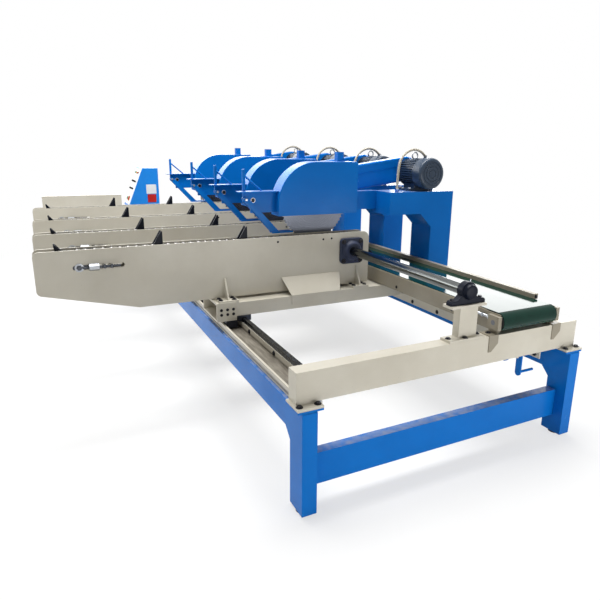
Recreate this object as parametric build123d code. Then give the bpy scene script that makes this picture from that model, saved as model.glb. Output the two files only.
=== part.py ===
"""Multi head saw: four chain arms and saw heads on sliding carriages over a long bench frame.

Millimetres. The machine is laid out from the left end of the near end beam (X), its front face (Y)
and the floor (Z). Boards travel along +X, the rails and the belt conveyor run along Y.
Every piece is then shifted so that the origin lies on the floor under the middle of the machine.
"""
from build123d import *
import os
from math import acos, atan2, cos, hypot, pi, sin, tan

# Bench frame
BASE_X = 1515            # end beams, left to right
BASE_Y = 3900            # front of the near end beam to the back of the far one
BEAM_TOP = 600
BEAM_H = 130
BEAM_T = 70
BEAM_WALL = 5
PAD_T = 10               # leg top plates and end beam foot plates
PAD_X = 110
PAD_OVERHANG = 12        # foot plates past the ends of the beam
PAD_FRONT = 42           # foot plates in front of the beam
LEG_X = 65
LEG_Y = 115
LEG_INSET = 5
LEG_FORWARD = 45
TUBE_WALL = 5
SIDE_H = 115
GUSSET = 45
CROSS_H = 140
CROSS_T = 50
CROSS_Z = 100
CROSS_BACK = 10
FOOT_GAP = 9             # floor to the underside of the legs
FOOT_R = 30
FOOT_PAD_T = 5
STUD_R = 8
STUD_L = 70
DRAIN_R = 6
BOLT_R = 9
BOLT_H = 8

# Rails on the side frames
RAIL_INSET = 20          # outer lip from the end of the base
RAIL_X = 128
RAIL_FLOOR = 12
LIP_H = 40
LIP_T = 10
RAIL_WEB_T = 8           # web that hangs from the floor's inner edge
RAIL_WEB_H = 56
GUIDE_SEAT = 46          # height of the bar that carries the guide rail
SEAT_X = 30
GUIDE_X = 23
GUIDE_H = 22
BLOCK_X = 70
BLOCK_Y = 80
BLOCK_LIFT = 14          # guide rail top to the carriage tube
SLIDE_GAP = 0.3
END_GAP = 1.0            # rails to the end beams

# Saw units, places of the near plates of their arms
LANE_FIRST = 1025
LANE_PITCHES = (525, 580, 705)

# Carriage
CAR_FRONT = 71           # in front of the near plate
CAR_Y = 260
CAR_H = 74
CAR_WALL = 6
CAR_LEFT = 17            # past the left end of the base
SLEEVE_X = 107
SLEEVE_DROP = 21
SLEEVE_RISE = 6
SLEEVE_T = 3             # sleeve outside the tube
ARM_SEAT = 14            # foot pads above the tube
PAD_LEFT_X = 0
PAD_RIGHT_X = 800
ARM_PAD_X = 105
RIB_T = 8
RIB_H = 105
COVER_X = 374
COVER_TOP_X = 369
COVER_TAPER = 34
COVER_RISE = 80
COVER_DROP = 48
COVER_T = 4
CLAMP_X = 60
CLAMP_Y = 90
CLAMP_H = 40

# Chain arm
ARM_LEFT = -828
ARM_W = 80
PLATE_T = 6
ARM_TOP = 927
ARM_NOSE_H = 200         # height of the left end
ARM_SLOPE_X = 444
NOSE_R = 25
NOSE_OUT = 123           # drive shaft to the right end of the plates
CORNER_R = 40            # upper corner of that end
SHAFT_X = 815
SHAFT_Z = 820
SHAFT_R = 25
SHAFT_HOLE = 8           # room round the shaft in the plates
TAIL_X = -640
TAIL_AXLE_R = 10
SLOT_L = 207
SLOT_ROOM = 1
FLOOR_T = 6
SHELF_T = 18
SHELF_GAP = 1.5

# Chain and wheels
CHAIN_W = 40
CHAIN_T = 20
CHAIN_BELOW = 2          # chain top under the edge of the plates
CHAIN_SKIN = 6
DRIVE_PITCH_R = 95
GROOVE_W = 17
WHEEL_W = 14
WHEEL_GAP = 0.4
HUB_R = 44
TAIL_HUB_R = 24
HUB_W = 56
RUN_FIT = 0.05
DRIVE_TEETH = 23
TAIL_TEETH = 17
TOOTH_H = 9
LUGS = 7                 # pairs of pushers; the chain's joint lies in the longer gap
LUG_T = 6
LUG_H = 65
LUG_L = 48
LUG_TOP = 8
LUG_FIRST = 830          # foremost pusher along the upper run
LUG_STEP = 440
FLANGE = 150
FLANGE_T = 20
BOSS_R = 50
BOSS_T = 22
NUT_R = 17
NUT_T = 12
SCREW_R = 6
SCREW_L = 150

# Saw blade and spindle
BLADE_R = 205
BLADE_T = 4
BLADE_TEETH = 60
TOOTH_DEPTH = 9
SPIN_X = 622
SPIN_Z = 1085
SPIN_R = 20
BLADE_Y = 110            # middle of the blade from the near plate
COLLAR_R = 60
COLLAR_T = 10
SPIN_NUT_R = 28
SPIN_NUT_T = 18
PULLEY_R = 50
PULLEY_W = 36
PULLEY_GAP = 8           # pulley to the guard's front wall

# Hood, dust spout and belt guard
HOOD_X0 = 386
HOOD_X1 = 884
HOOD_Z0 = 1030
HOOD_TOP = 1322
HOOD_R = 230
HOOD_W = 110
HOOD_WALL = 4
SPOUT_X0 = 765
SPOUT_X = 42
SPOUT_Y = 42
SPOUT_H = 54
GUARD_R = 75
GUARD_RISE = 84          # long box above the spindle
GUARD_MOTOR_RISE = 20    # long box above the motor's axis
GUARD_W = 62
GUARD_WALL = 3
GUARD_HOLE = 6

# Saw stand
POST_X0 = 1400
STAND_X1 = 1560
STAND_FRONT = 10
STAND_Y = 200
STAND_WALL = 8
HEADER_X0 = 1085
HEADER_TOP = 1145
HEADER_H = 135
KNEE = 85
STAND_PLATE = 20
STAND_PLATE_LIP = 14
SAW_ARM_Y = 70
SAW_ARM_H = 110
HOUSING_R = 55

# Motor
MOTOR_X = 1362
MOTOR_CENTRE = 108       # above the header
MOTOR_R = 84
COWL_R = 94
COWL_FRONT = -20
COWL_L = 84
MOTOR_L = 155
BELL_R = 76
MOTOR_SHAFT_R = 14
FOOT_X = 190
FOOT_Y = 120
FOOT_T = 14
FOOT_WEB = 110
BOX_X = 84
BOX_Y = 74
EYE_R = 20
EYE_WIRE = 5
EYE_Y = 165              # behind the near plate
BOX_TOP = 90             # above the motor's axis
CONDUIT_R = 8
CONDUIT_BEND_R = 130     # arc of the loop over the motor
CONDUIT_TURN = 135       # degrees from straight up to the way into the terminal box
CONDUIT_STEPS = 4
CONDUIT_X = 1163
CONDUIT_Y = 58
CONDUIT_END_X = 1388
CONDUIT_END_Y = 90
GLAND_R = 13
GLAND_H = 14

# Hold-down
HOLD_X = 214
HOLD_Z = 1122
HOLD_PIN_R = 8
POST_PLATE_X = 30
POST_PLATE_T = 12
POST_PLATE_TOP = 1282
UPRIGHT_X = 16           # the plate above the ledge
BRACKET_Z0 = 1048
BRACKET_Z1 = 1160
BRACKET_X = 144
BRACKET_IN = 20          # box and ledge run on to the round of the hood
LEDGE_T = 6
LEDGE_W = 64
LEDGE_LEFT = 42
FORK_T = 8
FORK_H = 30
FORK_GAP = 4
SHOE_X0 = 362
SHOE_X = 124
SHOE_H = 10
SHOE_W = 14
SHOE_GAP = 5             # shoe above the arm's plates
BRACE_R = 5

# Belt conveyor
BELT_X0 = 1004
BELT_W = 332
BELT_T = 3
ROLLER_R = 40
ROLLER_Z = 656
ROLLER_GAP = 0.3
ROLLER_SHAFT_R = 12
NEAR_ROLLER_Y = 20
FAR_ROLLER_BACK = 20     # far roller in front of the far beam's back
SIDE_GAP = 4
PANEL_T = 4
PANEL_Z0 = 611
PANEL_Z1 = 694
PANEL_NOSE = 22
BED_T = 3
BED_GAP = 0.5
BED_END = 70             # roller centre to the bed
RAIL_GUARD_X = 28
RAIL_GUARD_H = 27
GUARD_START = 125
TAKEUP_T = 20
TAKEUP_Y = 66
TAKEUP_H = 64
TAKEUP_SCREW_R = 6
TAKEUP_SCREW_L = 110
BRACKET_L = 56
TONGUE_X = 54
TONGUE_H = 74            # down the outside of the end beam
TONGUE_TIP = 16

# Chain drive
PEDESTAL_X = 100
PEDESTAL_SHIFT = 16      # column to the right of the shaft
PEDESTAL_FRONT = 20      # column behind the beam's front
PEDESTAL_Y = 42
PEDESTAL_WALL = 6
PEDESTAL_PLATE = 12
PLATE_X = 190            # plates under and over the column
PLATE_Y = 66
PILLOW_X = 190
PILLOW_FRONT = 12        # behind the beam's front
PILLOW_Y = 36
PILLOW_CENTRE = 57
PILLOW_FOOT = 20
PILLOW_R = 41
SHAFT_NOSE = 4           # shaft in front of the near beam
GEARBOX = 170
GEARBOX_Y = 120
GEARBOX_BACK = 14
GEAR_MOTOR_R = 72
GEAR_MOTOR_L = 240
GEAR_PLATE = 10
SHAFT_TAIL = 10

# Hand lever
LEVER_X = 1272
LEVER_Y = 112
LEVER_Z = 442
LEVER_SHAFT_R = 10
LEVER_SHAFT_L = 110
LEVER_ARM = 118
LEVER_ARM_W = 34
LEVER_ARM_T = 8
LEVER_GRIP_R = 7
LEVER_GRIP_L = 96
LEVER_WHEEL_R = 34
LEVER_WHEEL_T = 10
LEVER_PLATE_T = 14

# Fixed arm and console
FIXED_LEFT = -755
FIXED_RIGHT = -80
FIXED_H = 192
FIXED_W = 60
FIXED_POST_X = 70
SADDLE_L = 160           # saddle under the fixed arm's end
SADDLE_H = 40
CONSOLE_X = 296
CONSOLE_Y = 320
CONSOLE_Z0 = 790
CONSOLE_Z1 = 1165
CONSOLE_SLOPE_X = 150
CONSOLE_SLOPE_Z = 800
CONSOLE_WALL = 3
CONSOLE_BACK = 16        # housing behind the far leg
COLUMN_FOOT = 12
COLUMN_WALL = 4
BUTTON_R = 14
STOP_R = 21
STEM_R = 11
STEM_L = 24
BUTTON_H = 9
BUTTON_RISE = 6
STEM_FIT = 0.3
BUTTON_UP = 0.18         # share of the panel's slope
BUTTON_SPREAD = 60

# Heights and places that follow
SIDE_TOP = BEAM_TOP - BEAM_H - 2 * PAD_T
SEAT_TOP = SIDE_TOP + GUIDE_SEAT
CAR_Z0 = SEAT_TOP + GUIDE_H + BLOCK_LIFT
CAR_TOP = CAR_Z0 + CAR_H
SLEEVE_TOP = CAR_TOP + SLEEVE_RISE
ARM_Z0 = CAR_TOP + ARM_SEAT
CHAIN_TOP = ARM_TOP - CHAIN_BELOW
TAIL_PITCH_R = 72
TAIL_Z = SHAFT_Z + DRIVE_PITCH_R - TAIL_PITCH_R
NOSE_END = SHAFT_X + NOSE_OUT
HEADER_Z0 = HEADER_TOP - HEADER_H
POST_Z0 = SLEEVE_TOP + STAND_PLATE
HOOD_Y1 = BLADE_Y + HOOD_W / 2
SAW_Y1 = HOOD_Y1 + SAW_ARM_Y
MOTOR_Z = HEADER_TOP + MOTOR_CENTRE
MOTOR_BACK = COWL_FRONT + COWL_L + MOTOR_L
BELT_X1 = BELT_X0 + BELT_W
FAR_ROLLER_Y = BASE_Y - FAR_ROLLER_BACK
SIDE_L = BASE_Y + 2 * LEG_FORWARD
RIGHT_SIDE = BASE_X - LEG_INSET - LEG_X
LANES = [LANE_FIRST + sum(LANE_PITCHES[:i]) for i in range(len(LANE_PITCHES) + 1)]
CONSOLE_FRONT = BASE_Y + LEG_FORWARD + CONSOLE_BACK
MIDDLE_X = (ARM_LEFT + STAND_X1) / 2
MIDDLE_Y = (CONSOLE_FRONT + CONSOLE_Y - LEG_FORWARD) / 2


def block(x0, x1, y0, y1, z0, z1):
    """A box between two corners."""
    return Pos((x0 + x1) / 2, (y0 + y1) / 2, (z0 + z1) / 2) * Box(x1 - x0, y1 - y0, z1 - z0)


def rod_x(y, z, x0, x1, r):
    return Pos((x0 + x1) / 2, y, z) * Rot(0, 90, 0) * Cylinder(r, x1 - x0)


def rod_y(x, z, y0, y1, r):
    return Pos(x, (y0 + y1) / 2, z) * Rot(90, 0, 0) * Cylinder(r, y1 - y0)


def rod_z(x, y, z0, z1, r):
    return Pos(x, y, (z0 + z1) / 2) * Cylinder(r, z1 - z0)


def plate_xz(points, y0, y1):
    """An outline in X and Z carried along Y."""
    face = make_face(Polyline(*[(x, y0, z) for x, z in points], close=True))
    return extrude(face, amount=y1 - y0, dir=(0, 1, 0))


def plate_yz(points, x0, x1):
    """An outline in Y and Z carried along X."""
    face = make_face(Polyline(*[(x0, y, z) for y, z in points], close=True))
    return extrude(face, amount=x1 - x0, dir=(1, 0, 0))


def drained_tube(x0, x1, y0, y1, z0, z1, wall):
    """A closed box section with a drain hole in the middle of its floor."""
    outer = block(x0, x1, y0, y1, z0, z1)
    inner = block(x0 + wall, x1 - wall, y0 + wall, y1 - wall, z0 + wall, z1 - wall)
    drain = rod_z((x0 + x1) / 2, (y0 + y1) / 2, z0 - wall, z0 + 2 * wall, DRAIN_R)
    return outer - inner - drain


def mirrored_x(shape):
    """The same piece on the other side of the base."""
    return Pos(BASE_X, 0, 0) * mirror(shape, Plane.YZ)


def mirrored_y(shape):
    """The same piece at the other end of the base."""
    return Pos(0, BASE_Y, 0) * mirror(shape, Plane.XZ)


def loop_angles(a, b):
    """Normals of the two straight runs of a loop round wheels a and b, each (x, z, r)."""
    along = atan2(b[1] - a[1], b[0] - a[0])
    spread = acos((a[2] - b[2]) / hypot(b[0] - a[0], b[1] - a[1]))
    return along + spread, along - spread


def on_wheel(wheel, angle, grow=0.0):
    return wheel[0] + (wheel[2] + grow) * cos(angle), wheel[1] + (wheel[2] + grow) * sin(angle)


def loop_plate(a, b, grow, y0, y1):
    """The filled loop round two wheels, grown outwards, carried along Y."""
    top, low = loop_angles(a, b)
    middle = (top + low) / 2

    def at(wheel, angle):
        x, z = on_wheel(wheel, angle, grow)
        return x, y0, z

    outline = [
        Line(at(a, top), at(b, top)),
        ThreePointArc(at(b, top), at(b, middle), at(b, low)),
        Line(at(b, low), at(a, low)),
        ThreePointArc(at(a, low), at(a, middle + pi), at(a, top)),
    ]
    return extrude(make_face(outline), amount=y1 - y0, dir=(0, 1, 0))


def between(start, end, share):
    return start[0] + (end[0] - start[0]) * share, start[1] + (end[1] - start[1]) * share


def along_loop(a, b, s):
    """Place and heading on the loop at the length s from the start of its upper run."""
    top, low = loop_angles(a, b)
    start, end = on_wheel(a, top), on_wheel(b, top)
    run = hypot(end[0] - start[0], end[1] - start[1])
    if s < run:
        return *between(start, end, s / run), top - pi / 2
    s -= run
    if s < b[2] * (top - low):
        angle = top - s / b[2]
        return *on_wheel(b, angle), angle - pi / 2
    s -= b[2] * (top - low)
    start, end = on_wheel(b, low), on_wheel(a, low)
    if s < run:
        return *between(start, end, s / run), low - pi / 2
    angle = low - (s - run) / a[2]
    return *on_wheel(a, angle), angle - pi / 2


def loop_length(a, b):
    top, low = loop_angles(a, b)
    start, end = on_wheel(a, top), on_wheel(b, top)
    run = hypot(end[0] - start[0], end[1] - start[1])
    return 2 * run + b[2] * (top - low) + a[2] * (2 * pi - top + low)


def toothed_disc(x, z, root, tip, count, y0, y1):
    """A chain wheel's disc, with a straight-sided tooth at each step."""
    points = []
    for tooth in range(count):
        for share, r in ((-0.32, root), (-0.12, tip), (0.12, tip), (0.32, root)):
            angle = 2 * pi * (tooth + share) / count
            points.append((x + r * cos(angle), z + r * sin(angle)))
    return plate_xz(points, y0, y1)


def put(name, solids, y=0.0):
    """Write one named sub-part, shifted from the layout to the part's own origin."""
    pieces = []
    for shape in solids:
        pieces += [solid.moved(Location((-MIDDLE_X, y - MIDDLE_Y, 0))) for solid in shape.solids()]
    export_step(pieces[0] if len(pieces) == 1 else Compound(children=pieces), f"parts/{name}.step")


def side_frame():
    """Left side frame: a box beam on two legs, with small gussets and a top plate over each leg."""
    x0, x1 = LEG_INSET, LEG_INSET + LEG_X
    beam_z0 = SIDE_TOP - SIDE_H
    y0, y1 = -LEG_FORWARD, BASE_Y + LEG_FORWARD
    inset = TUBE_WALL
    body = block(x0, x1, y0, y1, beam_z0, SIDE_TOP)
    hollow = block(x0 + inset, x1 - inset, y0 + inset, y1 - inset, beam_z0 + inset, SIDE_TOP - inset)
    for leg_y in (y0, y1 - LEG_Y):
        inner = leg_y + LEG_Y if leg_y == y0 else leg_y
        reach = GUSSET if leg_y == y0 else -GUSSET
        body += block(x0, x1, leg_y, leg_y + LEG_Y, FOOT_GAP, SIDE_TOP)
        body += plate_yz([(inner, beam_z0), (inner + reach, beam_z0), (inner, beam_z0 - GUSSET)], x0, x1)
        hollow += block(x0 + inset, x1 - inset, leg_y + inset, leg_y + LEG_Y - inset,
                        FOOT_GAP + inset, SIDE_TOP - inset)
        hollow += rod_z((x0 + x1) / 2, leg_y + LEG_Y / 2, FOOT_GAP - inset, FOOT_GAP + 2 * inset,
                        STUD_R + SLOT_ROOM)
    frame = body - hollow
    pad = block(-PAD_OVERHANG, PAD_X - PAD_OVERHANG, -PAD_FRONT, BEAM_T, SIDE_TOP, SIDE_TOP + PAD_T)
    return frame + pad + mirrored_y(pad)


def cross_beam():
    """Lower cross beam, a box section between the legs."""
    return drained_tube(LEG_INSET + LEG_X, RIGHT_SIDE, CROSS_BACK, CROSS_BACK + CROSS_T,
                        CROSS_Z, CROSS_Z + CROSS_H, TUBE_WALL)


def end_beam():
    """End beam with a foot plate under each end."""
    beam = drained_tube(0, BASE_X, 0, BEAM_T, BEAM_TOP - BEAM_H, BEAM_TOP, BEAM_WALL)
    foot = block(-PAD_OVERHANG, PAD_X - PAD_OVERHANG, -PAD_FRONT, BEAM_T,
                 SIDE_TOP + PAD_T, SIDE_TOP + 2 * PAD_T)
    return beam + foot + mirrored_x(foot)


def rail_trough():
    """Left rail: a floor, a low outer lip, the bar that carries the guide rail and a web below it."""
    y0, y1 = BEAM_T + END_GAP, BASE_Y - BEAM_T - END_GAP
    x0, x1 = RAIL_INSET, RAIL_INSET + RAIL_X
    floor = block(x0, x1, y0, y1, SIDE_TOP, SIDE_TOP + RAIL_FLOOR)
    lip = block(x0, x0 + LIP_T, y0, y1, SIDE_TOP, SIDE_TOP + LIP_H)
    seat = block(x1 - SEAT_X, x1, y0, y1, SIDE_TOP, SEAT_TOP)
    web = block(x1 - RAIL_WEB_T, x1, y0, y1, SIDE_TOP - RAIL_WEB_H, SIDE_TOP)
    return floor + lip + seat + web


def guide_rail():
    middle = RAIL_INSET + RAIL_X - SEAT_X / 2
    return block(middle - GUIDE_X / 2, middle + GUIDE_X / 2, BEAM_T + END_GAP, BASE_Y - BEAM_T - END_GAP,
                 SEAT_TOP, SEAT_TOP + GUIDE_H)


def levelling_foot():
    """Pad, lock nut and stud under the near left leg."""
    x, y = LEG_INSET + LEG_X / 2, -LEG_FORWARD + LEG_Y / 2
    pad = rod_z(x, y, 0, FOOT_PAD_T, FOOT_R)
    nut = rod_z(x, y, FOOT_PAD_T, FOOT_GAP, STUD_R + NUT_T / 2)
    return pad + nut + rod_z(x, y, FOOT_GAP, FOOT_GAP + STUD_L, STUD_R)


def foot_bolts():
    """Two bolt heads on the foot plate at the near left corner."""
    z = SIDE_TOP + 2 * PAD_T
    places = (BOLT_R + BOLT_H - PAD_OVERHANG, PAD_X - PAD_OVERHANG - BOLT_R - BOLT_H)
    return [rod_z(x, -PAD_FRONT / 2, z, z + BOLT_H, BOLT_R) for x in places]


def carriage():
    """Cross tube with an open sleeve at each end, foot pads, ribs and a sloped cover."""
    y0, y1 = -CAR_FRONT, CAR_Y - CAR_FRONT
    x0, x1 = -CAR_LEFT, STAND_X1
    tube = block(x0 + SLEEVE_X, x1 - SLEEVE_X, y0, y1, CAR_Z0, CAR_TOP)
    tube -= block(x0, x1, y0 + CAR_WALL, y1 - CAR_WALL, CAR_Z0 + CAR_WALL, CAR_TOP - CAR_WALL)
    body = tube
    for start in (x0, x1 - SLEEVE_X):
        outer = block(start, start + SLEEVE_X, y0 - SLEEVE_T, y1 + SLEEVE_T,
                      CAR_Z0 - SLEEVE_DROP, SLEEVE_TOP)
        inset = CAR_WALL + SLEEVE_T
        outer -= block(start - 1, start + SLEEVE_X + 1, y0 + CAR_WALL, y1 - CAR_WALL,
                       CAR_Z0 - SLEEVE_DROP + inset, CAR_TOP - CAR_WALL)
        body += outer
    for pad_x in (PAD_LEFT_X, PAD_RIGHT_X):
        body += block(pad_x, pad_x + ARM_PAD_X, y0, ARM_W, CAR_TOP - CAR_WALL, ARM_Z0)
        rib = [(0, ARM_Z0), (y0 + RIB_T, ARM_Z0), (-RIB_T, ARM_Z0 + RIB_H), (0, ARM_Z0 + RIB_H)]
        body += plate_yz(rib, pad_x + ARM_PAD_X / 2 - RIB_T / 2, pad_x + ARM_PAD_X / 2 + RIB_T / 2)
    return body


def carriage_cover():
    """Bent sheet between the arm and the front of the carriage, narrower at its lower edge."""
    front = -CAR_FRONT
    top = ARM_Z0 + COVER_RISE
    low = CAR_TOP - COVER_DROP
    profile = [(-COVER_T, top), (0, top), (0, top - COVER_T), (front, CAR_TOP), (front, low),
               (front - COVER_T, low), (front - COVER_T, CAR_TOP + COVER_T)]
    sheet = plate_yz(profile, COVER_X, COVER_X + COVER_TOP_X)
    deep = front - 2 * COVER_T
    for edge, inward in ((COVER_X, 1), (COVER_X + COVER_TOP_X, -1)):
        narrow = edge + inward * COVER_TAPER
        corner = [(edge, top), (narrow, CAR_TOP), (narrow, low - COVER_DROP), (edge, low - COVER_DROP)]
        sheet -= plate_xz(corner, deep, 2 * COVER_T)
    return sheet


def guide_block(y):
    """Runner that straddles the guide rail under the carriage."""
    middle = RAIL_INSET + RAIL_X - SEAT_X / 2
    runner = block(middle - BLOCK_X / 2, middle + BLOCK_X / 2, y, y + BLOCK_Y,
                   SEAT_TOP + BLOCK_LIFT / 2, CAR_Z0)
    half = GUIDE_X / 2 + SLIDE_GAP
    return runner - block(middle - half, middle + half, y - 1, y + BLOCK_Y + 1,
                          SEAT_TOP, SEAT_TOP + GUIDE_H + SLIDE_GAP)


def clamp_block():
    """Rail clamp under the left sleeve, hanging in the trough."""
    top = CAR_Z0 - SLEEVE_DROP
    x0 = RAIL_INSET + LIP_T + SLEEVE_T
    return block(x0, x0 + CLAMP_X, -CAR_FRONT, CLAMP_Y - CAR_FRONT, top - CLAMP_H, top)


def rounded_plate(corners, y0, y1):
    """Plate from y0 to y1 with an outline of corners (x, z, radius)."""
    points = [Vector(x, y0, z) for x, z, r in corners]
    arcs = []
    for k, (x, z, r) in enumerate(corners):
        here = points[k]
        back = (points[k - 1] - here).normalized()
        ahead = (points[(k + 1) % len(points)] - here).normalized()
        half = back.get_angle(ahead) * pi / 360
        middle = here + (back + ahead).normalized() * (r / sin(half) - r)
        arcs.append((here + back * (r / tan(half)), middle, here + ahead * (r / tan(half))))
    outline = []
    for k, (start, middle, end) in enumerate(arcs):
        if corners[k][2]:
            outline.append(ThreePointArc(start, middle, end))
        outline.append(Line(end, arcs[(k + 1) % len(arcs)][0]))
    return extrude(make_face(outline), amount=y1 - y0, dir=(0, 1, 0))


def arm_outline(y0, y1):
    """Side plate: tapered left end, upright right end past the drive shaft."""
    low = ARM_TOP - ARM_NOSE_H
    bend = ARM_LEFT + ARM_SLOPE_X
    corners = [(ARM_LEFT, ARM_TOP, NOSE_R), (NOSE_END, ARM_TOP, CORNER_R), (NOSE_END, ARM_Z0, 0),
               (bend, ARM_Z0, 0), (ARM_LEFT, low, NOSE_R)]
    return rounded_plate(corners, y0, y1)


def arm():
    """Two side plates held apart by the chain shelf and a floor."""
    body = arm_outline(0, PLATE_T) + arm_outline(ARM_W - PLATE_T, ARM_W)
    shelf_top = CHAIN_TOP - CHAIN_T - SHELF_GAP
    shelf_x0 = TAIL_X + TAIL_PITCH_R + CHAIN_T
    shelf_x1 = SHAFT_X - DRIVE_PITCH_R - CHAIN_T
    body += block(shelf_x0, shelf_x1, 0, ARM_W, shelf_top - SHELF_T, shelf_top)
    body += block(ARM_LEFT + ARM_SLOPE_X, NOSE_END, 0, ARM_W, ARM_Z0, ARM_Z0 + FLOOR_T)
    body -= rod_y(SHAFT_X, SHAFT_Z, -1, ARM_W + 1, SHAFT_R + SHAFT_HOLE)
    half = TAIL_AXLE_R + SLOT_ROOM
    slot = block(TAIL_X - NUT_R, TAIL_X - NUT_R + SLOT_L, -1, ARM_W + 1, TAIL_Z - half, TAIL_Z + half)
    slot += rod_y(TAIL_X - NUT_R, TAIL_Z, -1, ARM_W + 1, half)
    slot += rod_y(TAIL_X - NUT_R + SLOT_L, TAIL_Z, -1, ARM_W + 1, half)
    return body - slot


TAIL_WHEEL = (TAIL_X, TAIL_Z, TAIL_PITCH_R)
DRIVE_WHEEL = (SHAFT_X, SHAFT_Z, DRIVE_PITCH_R)


def chain():
    """The chain as one loop with an inner groove for the wheels, then the pusher lugs in pairs."""
    y0, y1 = (ARM_W - CHAIN_W) / 2, (ARM_W + CHAIN_W) / 2
    half = CHAIN_T / 2
    band = loop_plate(TAIL_WHEEL, DRIVE_WHEEL, half, y0, y1)
    band -= loop_plate(TAIL_WHEEL, DRIVE_WHEEL, -half, y0, y1)
    g0, g1 = (ARM_W - GROOVE_W) / 2, (ARM_W + GROOVE_W) / 2
    band -= loop_plate(TAIL_WHEEL, DRIVE_WHEEL, half - CHAIN_SKIN, g0, g1)
    length = loop_length(TAIL_WHEEL, DRIVE_WHEEL)
    pieces = [band]
    for lug in range(LUGS):
        place = (LUG_FIRST - lug * LUG_STEP) % length
        x, z, heading = along_loop(TAIL_WHEEL, DRIVE_WHEEL, place)
        c, s = cos(heading), sin(heading)
        low, high = half, half + LUG_H
        points = []
        for forward, up in ((0, low), (0, high), (-LUG_TOP, high), (-LUG_L, low)):
            points.append((x + forward * c - up * s, z + forward * s + up * c))
        pieces += [plate_xz(points, y0, y0 + LUG_T), plate_xz(points, y1 - LUG_T, y1)]
    return pieces


def flange_bearing(y, way):
    """Square flange bearing on a side plate, standing out along way."""
    near, face, boss = sorted((y, y + way * FLANGE_T)), y + way * FLANGE_T, y + way * (FLANGE_T + BOSS_T)
    half = FLANGE / 2
    body = block(SHAFT_X - half, SHAFT_X + half, near[0], near[1], SHAFT_Z - half, SHAFT_Z + half)
    body += rod_y(SHAFT_X, SHAFT_Z, min(face, boss), max(face, boss), BOSS_R)
    bore = FLANGE_T + BOSS_T + 1
    return body - rod_y(SHAFT_X, SHAFT_Z, y - bore, y + bore, SHAFT_R + RUN_FIT)


def tail_axle():
    """Tail axle with a nut on each side plate, and the screw that pulls it tight."""
    axle = rod_y(TAIL_X, TAIL_Z, -NUT_T, ARM_W + NUT_T, TAIL_AXLE_R)
    axle += rod_y(TAIL_X, TAIL_Z, -NUT_T, 0, NUT_R)
    axle += rod_y(TAIL_X, TAIL_Z, ARM_W, ARM_W + NUT_T, NUT_R)
    return axle + rod_x(-NUT_T / 2, TAIL_Z, TAIL_X, TAIL_X + SCREW_L, SCREW_R)


def chain_wheel(wheel, teeth, hub_r, bore_r):
    """Chain wheel with its hub, running under the chain's inner skin."""
    x, z, pitch = wheel
    tip = pitch + CHAIN_T / 2 - CHAIN_SKIN - WHEEL_GAP
    middle = ARM_W / 2
    body = toothed_disc(x, z, tip - TOOTH_H, tip, teeth, middle - WHEEL_W / 2, middle + WHEEL_W / 2)
    body += rod_y(x, z, middle - HUB_W / 2, middle + HUB_W / 2, hub_r)
    return body - rod_y(x, z, -1, ARM_W + 1, bore_r)


def stand_outline(inset, drop):
    """Corners of the stand's post and header, drawn in by a wall."""
    turn = inset * tan(pi / 8)
    return [
        (HEADER_X0 + inset, HEADER_Z0 + inset),
        (POST_X0 - KNEE + turn, HEADER_Z0 + inset),
        (POST_X0 + inset, HEADER_Z0 - KNEE + turn),
        (POST_X0 + inset, POST_Z0 - drop),
        (STAND_X1 - inset, POST_Z0 - drop),
        (STAND_X1 - inset, HEADER_TOP - inset),
        (HEADER_X0 + inset, HEADER_TOP - inset),
    ]


def stand():
    """Post, header and saw arm in one weldment, with the spindle housing at the arm's end."""
    y0, y1 = STAND_FRONT, STAND_FRONT + STAND_Y
    body = plate_xz(stand_outline(0, 0), y0, y1)
    lip = STAND_PLATE_LIP
    body += block(POST_X0 - lip, STAND_X1, y0 - lip, y1 + lip, SLEEVE_TOP, POST_Z0)
    body -= plate_xz(stand_outline(STAND_WALL, 2 * STAND_PLATE), y0 + STAND_WALL, y1 - STAND_WALL)
    saw_z0 = HEADER_TOP - SAW_ARM_H
    body += drained_tube(SPIN_X, HEADER_X0 + STAND_WALL, HOOD_Y1, SAW_Y1, saw_z0, HEADER_TOP, TUBE_WALL)
    body += rod_y(SPIN_X, SPIN_Z, HOOD_Y1, SAW_Y1, HOUSING_R)
    return body - rod_y(SPIN_X, SPIN_Z, HOOD_Y1 - 1, SAW_Y1 + 1, SPIN_R + RUN_FIT)


def blade():
    """Toothed blade between two collars on the arbor."""
    points = []
    for tooth in range(BLADE_TEETH):
        for share, r in ((0.0, BLADE_R), (0.3, BLADE_R - TOOTH_DEPTH), (0.75, BLADE_R - TOOTH_DEPTH)):
            angle = 2 * pi * (tooth + share) / BLADE_TEETH
            points.append((SPIN_X + r * cos(angle), SPIN_Z + r * sin(angle)))
    y0, y1 = BLADE_Y - BLADE_T / 2, BLADE_Y + BLADE_T / 2
    body = plate_xz(points, y0, y1)
    body += rod_y(SPIN_X, SPIN_Z, y0 - COLLAR_T, y1 + COLLAR_T, COLLAR_R)
    body += rod_y(SPIN_X, SPIN_Z, y0 - COLLAR_T - SPIN_NUT_T, y0, SPIN_NUT_R)
    pulley_y = SAW_Y1 + GUARD_WALL + PULLEY_GAP
    body += rod_y(SPIN_X, SPIN_Z, y1, pulley_y + PULLEY_W, SPIN_R)
    return body + rod_y(SPIN_X, SPIN_Z, pulley_y, pulley_y + PULLEY_W, PULLEY_R)


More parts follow.
